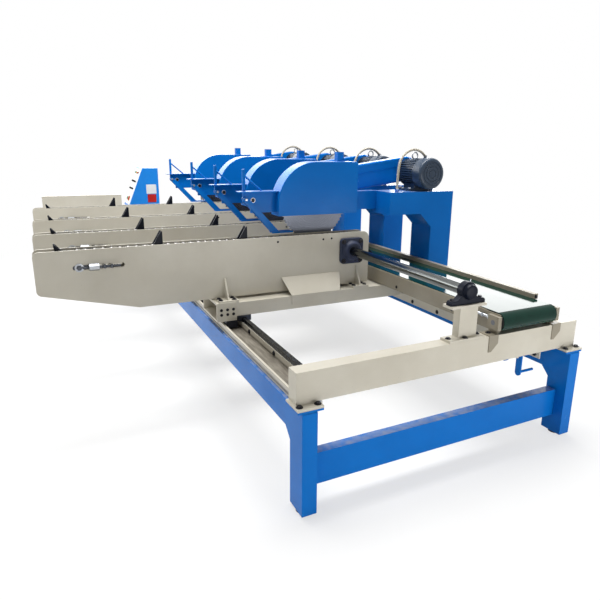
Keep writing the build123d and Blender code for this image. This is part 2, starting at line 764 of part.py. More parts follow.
def hood_outline(inset, y0, y1):
    """Hood's side: quarter-round left top, square right top; the inner one runs out of the bottom."""
    x0, x1, top = HOOD_X0 + inset, HOOD_X1 - inset, HOOD_TOP - inset
    low = HOOD_Z0 - inset
    r = HOOD_R - inset
    cx, cz = x0 + r, top - r
    outline = [
        Line((x0, y0, low), (x0, y0, cz)),
        ThreePointArc((x0, y0, cz), (cx - r * cos(pi / 4), y0, cz + r * sin(pi / 4)), (cx, y0, top)),
        Line((cx, y0, top), (x1, y0, top)),
        Line((x1, y0, top), (x1, y0, low)),
        Line((x1, y0, low), (x0, y0, low)),
    ]
    return extrude(make_face(outline), amount=y1 - y0, dir=(0, 1, 0))


def hood():
    """Sheet hood over the blade, open below, with a square dust spout on top."""
    y0 = BLADE_Y - HOOD_W / 2
    body = hood_outline(0, y0, HOOD_Y1)
    spout_y0, spout_y1 = BLADE_Y - SPOUT_Y / 2, BLADE_Y + SPOUT_Y / 2
    spout_x1, spout_top = SPOUT_X0 + SPOUT_X, HOOD_TOP + SPOUT_H
    body += block(SPOUT_X0, spout_x1, spout_y0, spout_y1, HOOD_TOP - HOOD_WALL, spout_top)
    body -= hood_outline(HOOD_WALL, y0 + HOOD_WALL, HOOD_Y1 - HOOD_WALL)
    w = HOOD_WALL
    body -= block(SPOUT_X0 + w, spout_x1 - w, spout_y0 + w, spout_y1 - w, HOOD_TOP - 2 * w, spout_top + w)
    return body - rod_y(SPIN_X, SPIN_Z, BLADE_Y, HOOD_Y1 + w, SPIN_R + GUARD_HOLE)


def belt_guard():
    """Closed sheet guard: a long box up to the motor's pulley and a short drop to the spindle's."""
    spin, low = (SPIN_X, SPIN_Z, GUARD_R), (SPIN_X, SPIN_Z + GUARD_RISE, GUARD_R)
    high = (MOTOR_X, MOTOR_Z + GUARD_MOTOR_RISE, GUARD_R)
    y0, y1 = SAW_Y1, SAW_Y1 + GUARD_W
    body = loop_plate(low, high, 0, y0, y1) + loop_plate(spin, low, 0, y0, y1)
    y0, y1 = y0 + GUARD_WALL, y1 - GUARD_WALL
    body -= loop_plate(low, high, -GUARD_WALL, y0, y1) + loop_plate(spin, low, -GUARD_WALL, y0, y1)
    y0 = SAW_Y1
    body -= rod_y(SPIN_X, SPIN_Z, y0 - 1, y0 + 2 * GUARD_WALL, SPIN_R + GUARD_HOLE)
    return body - rod_y(MOTOR_X, MOTOR_Z, y0 - 1, y0 + 2 * GUARD_WALL, MOTOR_SHAFT_R + GUARD_HOLE)


def hold_bracket():
    """Hold-down bracket on the round left wall of the hood: box, ledge, upright pivot plate and brace."""
    half = POST_PLATE_T / 2
    hood_x = HOOD_X0 + BRACKET_IN
    body = block(HOOD_X0 - BRACKET_X, hood_x, BLADE_Y - half, BLADE_Y + half, BRACKET_Z0, BRACKET_Z1)
    ledge_x0 = HOLD_X - LEDGE_LEFT
    body += block(ledge_x0, hood_x, BLADE_Y - LEDGE_W / 2, BLADE_Y + LEDGE_W / 2,
                  BRACKET_Z1, BRACKET_Z1 + LEDGE_T)
    x0, x1 = HOLD_X - POST_PLATE_X / 2, HOLD_X + POST_PLATE_X / 2
    body += block(x0, x1, BLADE_Y - half, BLADE_Y + half, HOLD_Z - POST_PLATE_X / 2, BRACKET_Z1)
    body += block(x0, x0 + UPRIGHT_X, BLADE_Y - half, BLADE_Y + half, BRACKET_Z1, POST_PLATE_TOP)
    body += block(x1, HOOD_X0 - BRACKET_X, BLADE_Y - half, BLADE_Y + half, HOLD_Z, BRACKET_Z1)
    foot = Vector(HOOD_X0 - BRACKET_X / 2, BLADE_Y, BRACKET_Z1)
    head = Vector(x0 + UPRIGHT_X / 2, BLADE_Y, POST_PLATE_TOP - POST_PLATE_X)
    line = head - foot
    body += Plane(origin=foot, z_dir=line) * Pos(0, 0, line.length / 2) * Cylinder(BRACE_R, line.length)
    body -= hood_outline(0, BLADE_Y - HOOD_W / 2, HOOD_Y1)
    return body - rod_y(HOLD_X, HOLD_Z, BLADE_Y - half - 1, BLADE_Y + half + 1, HOLD_PIN_R + RUN_FIT)


def hold_down():
    """Fork that straddles the blade: pivot pin, two sloped bars and a shoe on each."""
    shoe_z0 = ARM_TOP + SHOE_GAP
    inner = POST_PLATE_T / 2 + FORK_GAP
    end_x, end_z = SHOE_X0 + FORK_H, shoe_z0 + SHOE_H
    length = hypot(end_x - HOLD_X, HOLD_Z - end_z)
    ux, uz = (end_x - HOLD_X) / length, (end_z - HOLD_Z) / length
    half = FORK_H / 2
    bar = [(HOLD_X - uz * half, HOLD_Z + ux * half), (HOLD_X + uz * half, HOLD_Z - ux * half),
           (SHOE_X0, shoe_z0 + SHOE_H / 2), (end_x + half, shoe_z0 + SHOE_H / 2)]
    body = rod_y(HOLD_X, HOLD_Z, BLADE_Y - inner - FORK_T, BLADE_Y + inner + FORK_T, HOLD_PIN_R)
    for way in (-1, 1):
        near, far = sorted((BLADE_Y + way * inner, BLADE_Y + way * (inner + FORK_T)))
        body += plate_xz(bar, near, far)
        body += rod_y(HOLD_X, HOLD_Z, near, far, half)
        near, far = sorted((BLADE_Y + way * inner, BLADE_Y + way * (inner + SHOE_W)))
        body += block(SHOE_X0, SHOE_X0 + SHOE_X, near, far, shoe_z0, shoe_z0 + SHOE_H)
    return body


def conduit_points():
    """Corners of the conduit's loop, laid round an arc in the upright plane between its two glands."""
    reach = hypot(CONDUIT_END_X - CONDUIT_X, CONDUIT_END_Y - CONDUIT_Y)
    turn = CONDUIT_TURN * pi / 180
    end_z = MOTOR_Z + BOX_TOP + GLAND_H / 2
    left = reach - CONDUIT_BEND_R * (1 - cos(turn))
    centre_z = end_z - left * tan(turn) - CONDUIT_BEND_R * sin(turn)
    flat = [(0, HEADER_TOP + GLAND_H)]
    for step in range(CONDUIT_STEPS):
        angle = pi - (step + 0.5) * turn / CONDUIT_STEPS
        r = CONDUIT_BEND_R / cos(turn / CONDUIT_STEPS / 2)
        flat.append((CONDUIT_BEND_R + r * cos(angle), centre_z + r * sin(angle)))
    flat.append((reach, end_z))
    ways = ((CONDUIT_END_X - CONDUIT_X) / reach, (CONDUIT_END_Y - CONDUIT_Y) / reach)
    return [Vector(CONDUIT_X + ways[0] * u, CONDUIT_Y + ways[1] * u, z) for u, z in flat]


def motor():
    """Foot-mounted motor, fan cowl to the front, with its pulley inside the belt guard."""
    cowl_back = COWL_FRONT + COWL_L
    body = rod_y(MOTOR_X, MOTOR_Z, COWL_FRONT, cowl_back, COWL_R)
    body += rod_y(MOTOR_X, MOTOR_Z, cowl_back, MOTOR_BACK, MOTOR_R)
    body += rod_y(MOTOR_X, MOTOR_Z, MOTOR_BACK, SAW_Y1 - END_GAP, BELL_R)
    middle = (cowl_back + MOTOR_BACK) / 2
    body += block(MOTOR_X - FOOT_X / 2, MOTOR_X + FOOT_X / 2, middle - FOOT_Y / 2, middle + FOOT_Y / 2,
                  HEADER_TOP, HEADER_TOP + FOOT_T)
    body += block(MOTOR_X - FOOT_WEB / 2, MOTOR_X + FOOT_WEB / 2, middle - FOOT_Y / 2, middle + FOOT_Y / 2,
                  HEADER_TOP, MOTOR_Z)
    pulley_y = SAW_Y1 + GUARD_WALL + PULLEY_GAP
    body += rod_y(MOTOR_X, MOTOR_Z, MOTOR_BACK, pulley_y + PULLEY_W, MOTOR_SHAFT_R)
    body += rod_y(MOTOR_X, MOTOR_Z, pulley_y, pulley_y + PULLEY_W, PULLEY_R)
    box_x, box_y = CONDUIT_END_X, CONDUIT_END_Y
    body += block(box_x - BOX_X / 2, box_x + BOX_X / 2, box_y - BOX_Y / 4, box_y + BOX_Y * 3 / 4,
                  MOTOR_Z, MOTOR_Z + BOX_TOP)
    before, end = conduit_points()[-2:]
    body += Plane(origin=end, z_dir=end - before) * Pos(0, 0, GLAND_H / 2) * Cylinder(GLAND_R, GLAND_H)
    eye = Pos(MOTOR_X, EYE_Y, MOTOR_Z + MOTOR_R + EYE_R) * Rot(90, 0, 0) * Torus(EYE_R, EYE_WIRE)
    return body + eye + rod_z(MOTOR_X, EYE_Y, MOTOR_Z, MOTOR_Z + MOTOR_R + EYE_WIRE, EYE_WIRE)


def conduit_gland():
    """Gland on the header where the motor's conduit goes down."""
    return rod_z(CONDUIT_X, CONDUIT_Y, HEADER_TOP, HEADER_TOP + GLAND_H, GLAND_R)


def conduit():
    """Flexible conduit from the header over the motor: straight runs with the largest arcs they allow."""
    points = conduit_points()
    radii = []
    for before, here, after in zip(points, points[1:], points[2:]):
        turn = (here - before).get_angle(after - here)
        shorter = min((here - before).length, (after - here).length)
        radii.append(0.45 * shorter / tan(turn * pi / 360))
    path = FilletPolyline(*points, radius=radii)
    section = Plane(origin=path @ 0, z_dir=path % 0) * Circle(CONDUIT_R)
    return sweep(section, path=path), radii


def conveyor_foot(x0, x1, out):
    """Foot of a side panel on the near end beam, with a pointed tongue down the beam's front."""
    y0, y1 = (BEAM_T - BRACKET_L) / 2, (BEAM_T + BRACKET_L) / 2
    edge = x0 if out < 0 else x1
    near, far = sorted((edge, edge + out * TONGUE_X))
    top, low = BEAM_TOP + PANEL_T, BEAM_TOP - TONGUE_H
    tongue = [(near, top), (far, top), (far, BEAM_TOP - TONGUE_H / 2), (near + TONGUE_TIP, low), (near, low)]
    body = block(x0, x1, y0, y1, BEAM_TOP, PANEL_Z0)
    body += block(near, far, -PANEL_T, y1, BEAM_TOP, top)
    return body + plate_xz(tongue, -PANEL_T, 0)


def conveyor_side(x0, x1, out):
    """Side panel with its feet on the end beams; out is the way the outside faces."""
    y0, y1 = NEAR_ROLLER_Y - PANEL_NOSE, FAR_ROLLER_Y + PANEL_NOSE
    body = block(x0, x1, y0, y1, PANEL_Z0, PANEL_Z1)
    for roller_y in (NEAR_ROLLER_Y, FAR_ROLLER_Y):
        body -= rod_x(roller_y, ROLLER_Z, x0 - 1, x1 + 1, ROLLER_SHAFT_R + SLOT_ROOM)
    foot = conveyor_foot(x0, x1, out)
    return body + foot + mirrored_y(foot)


def take_up(x0, x1, roller_y, way):
    """Bearing block of a roller with its adjusting screw; way points along the conveyor."""
    body = block(x0, x1, roller_y - TAKEUP_Y / 2, roller_y + TAKEUP_Y / 2,
                 ROLLER_Z - TAKEUP_H / 2, ROLLER_Z + TAKEUP_H / 2)
    body -= rod_x(roller_y, ROLLER_Z, x0 - 1, x1 + 1, ROLLER_SHAFT_R + RUN_FIT)
    edge = roller_y + way * TAKEUP_Y / 2
    near, far = sorted((edge, edge + way * TAKEUP_SCREW_L))
    return body + rod_y((x0 + x1) / 2, ROLLER_Z + TAKEUP_H / 4, near, far, TAKEUP_SCREW_R)


LEFT_PANEL = (BELT_X0 - SIDE_GAP - PANEL_T, BELT_X0 - SIDE_GAP)
RIGHT_PANEL = (BELT_X1 + SIDE_GAP, BELT_X1 + SIDE_GAP + PANEL_T)


def conveyor_frame():
    """Side panels, slider bed, take-up blocks and the guard rail on the right."""
    left = conveyor_side(*LEFT_PANEL, -1)
    right = conveyor_side(*RIGHT_PANEL, 1)
    bed_top = ROLLER_Z + ROLLER_R + ROLLER_GAP - BED_GAP
    bed = block(LEFT_PANEL[1], RIGHT_PANEL[0], NEAR_ROLLER_Y + BED_END, FAR_ROLLER_Y - BED_END,
                bed_top - BED_T, bed_top)
    rail = block(RIGHT_PANEL[0], RIGHT_PANEL[0] + RAIL_GUARD_X, GUARD_START, FAR_ROLLER_Y,
                 PANEL_Z1, PANEL_Z1 + RAIL_GUARD_H)
    pieces = [left, right, bed, rail]
    for roller_y, way in ((NEAR_ROLLER_Y, 1), (FAR_ROLLER_Y, -1)):
        pieces.append(take_up(LEFT_PANEL[0] - TAKEUP_T, LEFT_PANEL[0], roller_y, way))
        pieces.append(take_up(RIGHT_PANEL[1], RIGHT_PANEL[1] + TAKEUP_T, roller_y, way))
    return pieces


def belt_loop(grow, x0, x1):
    """The filled loop round the two rollers, carried along X."""
    r = ROLLER_R + ROLLER_GAP + grow
    body = block(x0, x1, NEAR_ROLLER_Y, FAR_ROLLER_Y, ROLLER_Z - r, ROLLER_Z + r)
    return body + rod_x(NEAR_ROLLER_Y, ROLLER_Z, x0, x1, r) + rod_x(FAR_ROLLER_Y, ROLLER_Z, x0, x1, r)


def roller(y):
    """Belt roller with its shaft ends in the take-up blocks."""
    drum = rod_x(y, ROLLER_Z, BELT_X0, BELT_X1, ROLLER_R)
    return drum + rod_x(y, ROLLER_Z, LEFT_PANEL[0] - TAKEUP_T, RIGHT_PANEL[1] + TAKEUP_T, ROLLER_SHAFT_R)


def pedestal():
    """Folded channel that lifts the shaft's pillow block off the near end beam, open at its back."""
    middle = SHAFT_X + PEDESTAL_SHIFT
    y0, y1 = PEDESTAL_FRONT, PEDESTAL_FRONT + PEDESTAL_Y
    x0, x1 = middle - PEDESTAL_X / 2, middle + PEDESTAL_X / 2
    top = SHAFT_Z - PILLOW_CENTRE
    body = block(x0, x1, y0, y1, BEAM_TOP, top)
    body -= block(x0 + PEDESTAL_WALL, x1 - PEDESTAL_WALL, y0 + PEDESTAL_WALL, y1 + 1, BEAM_TOP, top)
    for z in (BEAM_TOP, top - PEDESTAL_PLATE):
        body += block(SHAFT_X - PLATE_X / 2, SHAFT_X + PLATE_X / 2, 0, PLATE_Y, z, z + PEDESTAL_PLATE)
    return body


def pillow_block():
    """Cast pillow block for the drive shaft."""
    top = SHAFT_Z - PILLOW_CENTRE
    y0, y1 = PILLOW_FRONT, PILLOW_FRONT + PILLOW_Y
    body = block(SHAFT_X - PILLOW_X / 2, SHAFT_X + PILLOW_X / 2, y0, y1, top, top + PILLOW_FOOT)
    body += rod_y(SHAFT_X, SHAFT_Z, y0, y1, PILLOW_R)
    return body - rod_y(SHAFT_X, SHAFT_Z, -1, BEAM_T + 1, SHAFT_R + RUN_FIT)


GEAR_Y0 = BASE_Y + GEARBOX_BACK


def gearmotor():
    """Hollow-shaft gearbox with its motor, on the end of the drive shaft."""
    half = GEARBOX / 2
    y1 = GEAR_Y0 + GEARBOX_Y
    body = block(SHAFT_X - half, SHAFT_X + half, GEAR_Y0, y1, SHAFT_Z - half, SHAFT_Z + half)
    middle = (GEAR_Y0 + y1) / 2
    body += rod_x(middle, SHAFT_Z, SHAFT_X + half, SHAFT_X + half + GEAR_MOTOR_L, GEAR_MOTOR_R)
    return body - rod_y(SHAFT_X, SHAFT_Z, GEAR_Y0 - 1, y1 + 1, SHAFT_R + RUN_FIT)


def gear_bracket():
    """Angle bracket from the far end beam to the underside of the gearbox."""
    half = GEARBOX / 2
    top = SHAFT_Z - half
    shelf = block(SHAFT_X - half, SHAFT_X + half, BASE_Y, GEAR_Y0 + GEARBOX_Y, top - GEAR_PLATE, top)
    web = block(SHAFT_X - half, SHAFT_X + half, BASE_Y, BASE_Y + GEAR_PLATE, BEAM_TOP - BEAM_H, top)
    return shelf + web


def lever():
    """Hand lever: cam wheel, shaft, hanging arm and grip rod."""
    start = LEVER_X - LEVER_SHAFT_L
    body = rod_x(LEVER_Y, LEVER_Z, start, LEVER_X + LEVER_ARM_T, LEVER_SHAFT_R)
    body += rod_x(LEVER_Y, LEVER_Z, start, start + LEVER_WHEEL_T, LEVER_WHEEL_R)
    half = LEVER_ARM_W / 2
    low = LEVER_Z - LEVER_ARM
    body += block(LEVER_X, LEVER_X + LEVER_ARM_T, LEVER_Y - half, LEVER_Y + half, low, LEVER_Z)
    for z in (LEVER_Z, low):
        body += rod_x(LEVER_Y, z, LEVER_X, LEVER_X + LEVER_ARM_T, half)
    return body + rod_x(LEVER_Y, low, LEVER_X, LEVER_X + LEVER_ARM_T + LEVER_GRIP_L, LEVER_GRIP_R)


def lever_bracket():
    """Bearing plate for the hand lever on the back of the near end beam."""
    x0 = LEVER_X - LEVER_SHAFT_L / 2 - LEVER_PLATE_T / 2
    reach = LEVER_Y + LEVER_ARM_W / 2
    body = block(x0, x0 + LEVER_PLATE_T, BEAM_T, reach, LEVER_Z - LEVER_ARM_W / 2, BEAM_TOP - PAD_T)
    return body - rod_x(LEVER_Y, LEVER_Z, x0 - 1, x0 + LEVER_PLATE_T + 1, LEVER_SHAFT_R + RUN_FIT)


def fixed_arm():
    """Plain support arm on a saddle, held out by a post on the far end beam."""
    y1 = BASE_Y - (BEAM_T - FIXED_W) / 2
    y0 = y1 - FIXED_W
    z0 = ARM_TOP - FIXED_H
    body = drained_tube(FIXED_LEFT, FIXED_RIGHT, y0, y1, z0, ARM_TOP, PLATE_T)
    body += block(FIXED_RIGHT - SADDLE_L, FIXED_POST_X, y0, y1, z0 - SADDLE_H, z0)
    body += block(0, FIXED_POST_X, y0, y1, BEAM_TOP, z0)
    return body


def panel_point(up, across):
    """Point on the sloped front of the console, by its share of the slope and its place along Y."""
    x = CONSOLE_SLOPE_X * up
    z = CONSOLE_SLOPE_Z + (CONSOLE_Z1 - CONSOLE_SLOPE_Z) * up
    return Vector(x, CONSOLE_FRONT + CONSOLE_Y / 2 + across, z)


PANEL_OUT = Vector(CONSOLE_SLOPE_Z - CONSOLE_Z1, 0, CONSOLE_SLOPE_X).normalized()


def on_panel(across, start, end, r):
    """A round piece square to the console's panel."""
    plane = Plane(origin=panel_point(BUTTON_UP, across), z_dir=PANEL_OUT)
    return plane * Pos(0, 0, (start + end) / 2) * Cylinder(r, end - start)


def console_outline(inset):
    """Corners of the console's side, drawn in by a wall."""
    slope = hypot(CONSOLE_SLOPE_X, CONSOLE_Z1 - CONSOLE_SLOPE_Z)
    rise = CONSOLE_Z1 - CONSOLE_SLOPE_Z
    x_shift = inset * slope / rise
    top_x = CONSOLE_SLOPE_X + x_shift - inset * CONSOLE_SLOPE_X / rise
    low_z = CONSOLE_SLOPE_Z - (x_shift - inset) * rise / CONSOLE_SLOPE_X
    right, floor, top = CONSOLE_X - inset, CONSOLE_Z0 + inset, CONSOLE_Z1 - inset
    return [(inset, floor), (right, floor), (right, top), (top_x, top), (inset, low_z)]


def console():
    """Desk-shaped housing on a column that is bolted to the far left leg."""
    y0, y1 = CONSOLE_FRONT, CONSOLE_FRONT + CONSOLE_Y
    body = plate_xz(console_outline(0), y0, y1)
    body -= plate_xz(console_outline(CONSOLE_WALL), y0 + CONSOLE_WALL, y1 - CONSOLE_WALL)
    for across in (-BUTTON_SPREAD / 2, BUTTON_SPREAD / 2):
        body -= on_panel(across, -2 * CONSOLE_WALL, CONSOLE_WALL, STEM_R + STEM_FIT)
    x0, x1 = LEG_INSET, LEG_INSET + LEG_X
    back = BASE_Y + LEG_FORWARD
    w = COLUMN_WALL
    column = block(x0, x1, back, back + LEG_Y, 0, CONSOLE_Z0)
    column += block(x0 - LEG_INSET, x1 + LEG_INSET, back, back + LEG_Y + LEG_X, 0, COLUMN_FOOT)
    column -= block(x0 + w, x1 - w, back + w, back + LEG_Y - w, COLUMN_FOOT, CONSOLE_Z0 + 1)
    opening = rod_z((x0 + x1) / 2, back + LEG_Y * 2 / 3, CONSOLE_Z0 - 1, CONSOLE_Z0 + 2 * CONSOLE_WALL,
                    STEM_R)
    return [body - opening, column]


def push_button(across, cap_r):
    """Cap on a stem that runs in the panel."""
    cap = on_panel(across, BUTTON_RISE, BUTTON_RISE + BUTTON_H, cap_r)
    return cap + on_panel(across, -STEM_L, BUTTON_RISE + 1, STEM_R)


os.makedirs("parts", exist_ok=True)

# The still base
left_frame = side_frame()
put("left_side_frame", [left_frame])
put("right_side_frame", [mirrored_x(left_frame)])
put("cross_beams", [cross_beam(), mirrored_y(cross_beam())])
put("end_beams", [end_beam(), mirrored_y(end_beam()), lever_bracket()])
put("rails", [rail_trough(), mirrored_x(rail_trough())])
put("guide_rails", [guide_rail(), mirrored_x(guide_rail())])
hardware = []
for piece in [levelling_foot()] + foot_bolts():
    hardware += [piece, mirrored_x(piece), mirrored_y(piece), mirrored_x(mirrored_y(piece))]
put("frame_hardware", hardware)
put("shaft_pedestals", [pedestal(), mirrored_y(pedestal())])
put("pillow_blocks", [pillow_block(), mirrored_y(pillow_block())])
put("chain_gearmotor", [gearmotor(), gear_bracket()])
put("conveyor_frame", conveyor_frame())
put("conveyor_belt", [belt_loop(BELT_T, BELT_X0, BELT_X1) - belt_loop(0, BELT_X0 - 1, BELT_X1 + 1)])
put("fixed_arm", [fixed_arm()])
put("console", console())

# What turns or travels on the base
put("drive_shaft", [rod_y(SHAFT_X, SHAFT_Z, -SHAFT_NOSE, GEAR_Y0 + GEARBOX_Y + SHAFT_TAIL, SHAFT_R)])
put("belt_tail_roller", [roller(NEAR_ROLLER_Y)])
put("belt_drive_roller", [roller(FAR_ROLLER_Y)])
put("hand_lever", [lever()])
put("emergency_stop", [push_button(-BUTTON_SPREAD / 2, STOP_R)])
put("start_button", [push_button(BUTTON_SPREAD / 2, BUTTON_R)])

# The four saw units
lead, bend_radii = conduit()
print("conduit arc radii", [round(r) for r in bend_radii])
unit_pieces = {
    "carriage": [carriage(), carriage_cover(), clamp_block()],
    "arm": [arm()],
    "chain_set": [*chain(), flange_bearing(0, -1), flange_bearing(ARM_W, 1), tail_axle()],
    "drive_sprocket": [chain_wheel(DRIVE_WHEEL, DRIVE_TEETH, HUB_R, SHAFT_R + RUN_FIT)],
    "tail_sprocket": [chain_wheel(TAIL_WHEEL, TAIL_TEETH, TAIL_HUB_R, TAIL_AXLE_R + RUN_FIT)],
    "stand": [stand(), conduit_gland()],
    "hood": [hood(), belt_guard(), hold_bracket()],
    "motor": [motor(), lead],
    "blade": [blade()],
    "hold_down": [hold_down()],
}
for block_y in (-CAR_FRONT, CAR_Y - CAR_FRONT - BLOCK_Y):
    unit_pieces["carriage"] += [guide_block(block_y), mirrored_x(guide_block(block_y))]
for number, lane_y in enumerate(LANES, start=1):
    for name, solids in unit_pieces.items():
        put(f"{name}_{number}", solids, lane_y)
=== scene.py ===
"""Multi head saw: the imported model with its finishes, fasteners and the fine forms of its pieces."""
import bmesh
import bpy
import numpy as np
from math import acos, atan2, cos, hypot, pi, radians, sin
from mathutils import Matrix, Vector


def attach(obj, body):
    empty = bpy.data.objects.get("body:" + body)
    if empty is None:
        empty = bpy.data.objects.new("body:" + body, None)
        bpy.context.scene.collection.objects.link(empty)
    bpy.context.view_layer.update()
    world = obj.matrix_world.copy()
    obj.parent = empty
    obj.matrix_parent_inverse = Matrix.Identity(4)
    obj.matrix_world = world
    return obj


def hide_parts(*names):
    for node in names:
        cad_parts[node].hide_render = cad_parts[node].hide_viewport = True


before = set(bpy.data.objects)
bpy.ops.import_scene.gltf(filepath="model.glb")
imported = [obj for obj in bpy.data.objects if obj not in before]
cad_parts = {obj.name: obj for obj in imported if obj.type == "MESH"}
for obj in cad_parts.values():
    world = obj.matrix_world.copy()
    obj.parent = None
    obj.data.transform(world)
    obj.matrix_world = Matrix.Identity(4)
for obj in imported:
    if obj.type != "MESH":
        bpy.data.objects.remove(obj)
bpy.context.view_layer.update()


# Side frames: a box beam on two box legs at each side, with small gussets in the corners.
# Welded steel tube with rounded corners, sprayed in blue gloss enamel after welding.
def linear(code):
    """One sRGB hex colour as linear red, green, blue and alpha."""
    rgb = np.array([int(code[i:i + 2], 16) for i in (1, 3, 5)]) / 255
    return (*np.where(rgb <= 0.04045, rgb / 12.92, ((rgb + 0.055) / 1.055) ** 2.4), 1.0)


def add(tree, kind, settings=None, links=None):
    """One shader node with its settings (sockets or properties) and the links into it."""
    node = tree.nodes.new("ShaderNode" + kind)
    for key, value in (settings or {}).items():
        if isinstance(key, int) or key in node.inputs:
            node.inputs[key].default_value = value
        else:
            setattr(node, key, value)
    for key, source in (links or {}).items():
        tree.links.new(source, node.inputs[key])
    return node


def start_material(name):
    """An empty principled material: itself, its node tree, its shader and the object's coordinates."""
    material = bpy.data.materials.new(name)
    material.use_nodes = True
    tree = material.node_tree
    return material, tree, tree.nodes["Principled BSDF"], add(tree, "TexCoord").outputs["Object"]


def enamel(name, tone, deep, chip, roughness, coat, dust_and_sheen, chips=0.7, gloss=0.35):
    """Sprayed enamel: cloudy tone, slight orange peel, small chips down to the metal, and settled dust with a
    painted sheen on level faces.
    """
    material, tree, shader, spot = start_material(name)
    cloud = add(tree, "TexNoise", {"Scale": 1 / 0.35, "Detail": 5.0, "Roughness": 0.6}, {"Vector": spot})
    spread = add(tree, "MapRange", {1: 0.34, 2: 0.68}, {0: cloud.outputs[0]})
    body = add(tree, "Mix", {"data_type": "RGBA", 6: linear(tone), 7: linear(deep)}, {0: spread.outputs[0]})
    # Chips are 1 to 3 mm across; drawn at 7 mm so that they show
    fleck = add(tree, "TexNoise", {"Scale": 1 / 0.007, "Detail": 2.0}, {"Vector": spot})
    few = add(tree, "MapRange", {1: 0.75, 2: 0.79, 4: chips}, {0: fleck.outputs[0]})
    chipped = add(tree, "Mix", {"data_type": "RGBA", 7: linear(chip)},
                  {0: few.outputs[0], 6: body.outputs[2]})
    # Sawdust and a painted sheen lie pale on level faces, in patches about 40 mm across
    facing = add(tree, "SeparateXYZ", links={0: add(tree, "NewGeometry").outputs["Normal"]})
    level = add(tree, "MapRange", {1: 0.8, 2: 0.98, 4: dust_and_sheen}, {0: facing.outputs[2]})
    patch = add(tree, "TexNoise", {"Scale": 1 / 0.04, "Detail": 5.0}, {"Vector": spot})
    thick = add(tree, "MapRange", {1: 0.35, 2: 0.65, 3: 0.3}, {0: patch.outputs[0]})
    dust_and_sheen_share = add(tree, "Math", {"operation": "MULTIPLY"}, {0: level.outputs[0], 1: thick.outputs[0]})
    dust_and_sheen_colour = add(tree, "Mix", {"data_type": "RGBA", 7: linear("#b9b2a6")},
                {0: dust_and_sheen_share.outputs[0], 6: chipped.outputs[2]})
    tree.links.new(dust_and_sheen_colour.outputs[2], shader.inputs["Base Color"])
    matt = add(tree, "MapRange", {1: 0.3, 2: 0.7, 3: roughness - 0.05, 4: roughness + 0.08},
               {0: cloud.outputs[0]})
    tree.links.new(matt.outputs[0], shader.inputs["Roughness"])
    # Orange peel is about 2 mm across; drawn at 12 mm so that the gloss breaks up in the picture
    peel = add(tree, "TexNoise", {"Scale": 1 / 0.012, "Detail": 1.0}, {"Vector": spot})
    bump = add(tree, "Bump", {"Strength": 0.1, "Distance": 0.001}, {"Height": peel.outputs[0]})
    tree.links.new(bump.outputs[0], shader.inputs["Normal"])
    shader.inputs["IOR"].default_value = 1.45
    shader.inputs["Specular IOR Level"].default_value = gloss
    shader.inputs["Coat Weight"].default_value = coat
    shader.inputs["Coat Roughness"].default_value = 0.1
    return material


def dress(node, material, ease=0.0):
    """Give a CAD node its finish, and ease its sharp edges by so many millimetres."""
    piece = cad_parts[node]
    for slot in piece.material_slots:
        slot.material = material
    if ease:
        weld = piece.modifiers.new("joined faces", "WELD")
        weld.merge_threshold = 1e-5
        edge = piece.modifiers.new("eased edges", "BEVEL")
        edge.width = ease / 1000
        edge.segments = 2
        edge.limit_method = "ANGLE"
        edge.angle_limit = radians(40)
        edge.harden_normals = True


# Gloss enamel: strong even blue with soft reflections of the room, and dust with a painted sheen on level
# faces
blue_enamel = enamel("blue gloss enamel", "#0a70c6", "#0968bb", "#0c2c55", 0.2, 0.0, 0.45, gloss=0.1)
for side in ("left", "right"):
    dress(f"{side}_side_frame", blue_enamel, 4)

# Lower cross beams: box sections welded between the legs at each end of the base.
# The same blue enamel as the side frames.
dress("cross_beams", blue_enamel, 4)

# Levelling feet and foot plate bolts: a turned pad with a lock nut under each leg, and hexagon
# screws with washers that hold the end beams down. All of them blacked steel.
CORNER = np.array([366.0, 2118.0, 0.0])    # mm from the base's near left corner to the frame's origin
UP = (0, 0, 1)


def skin(name, lofts, material, body, nodes=(), sheet=0.0):
    """Join lofts into one piece. A loft is a grid of points (rows of rings, in mm from the base's near
    left corner): neighbouring rings are joined by quads and the end rings are closed by a face, unless
    the last ring is the first one again. A sheet is left open between its last and first column, and gets
    its thickness (mm) inwards. Large faces keep their own direction, so that they shade flat."""
    points, faces, start = [], [], 0
    for loft in lofts:
        rows, columns = loft.shape[:2]
        index = start + np.arange(rows * columns).reshape(rows, columns)
        after = np.roll(index, -1, axis=1)
        quads = np.stack([index[:-1], after[:-1], after[1:], index[1:]], axis=-1)
        faces += quads[:, :columns - (sheet > 0)].reshape(-1, 4).tolist()
        if not np.allclose(loft[0], loft[-1]):
            faces += [index[0, ::-1].tolist(), index[-1].tolist()]
        points.append(loft.reshape(-1, 3))
        start += rows * columns
    mesh = bpy.data.meshes.new(name)
    mesh.from_pydata((np.concatenate(points) - CORNER) / 1000, [], faces)
    work = bmesh.new()
    work.from_mesh(mesh)
    bmesh.ops.remove_doubles(work, verts=work.verts, dist=1e-6)
    bmesh.ops.recalc_face_normals(work, faces=work.faces)
    work.to_mesh(mesh)
    work.free()
    mesh.shade_smooth()
    mesh.set_sharp_from_angle(angle=radians(35))
    mesh.materials.append(material)
    piece = bpy.data.objects.new(name, mesh)
    bpy.context.scene.collection.objects.link(piece)
    if sheet:
        wall = piece.modifiers.new("sheet thickness", "SOLIDIFY")
        wall.thickness = sheet / 1000
        wall.offset = -1
    flat = piece.modifiers.new("flat faces", "WEIGHTED_NORMAL")
    flat.keep_sharp = True
    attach(piece, body)
    if nodes:
        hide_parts(*nodes)


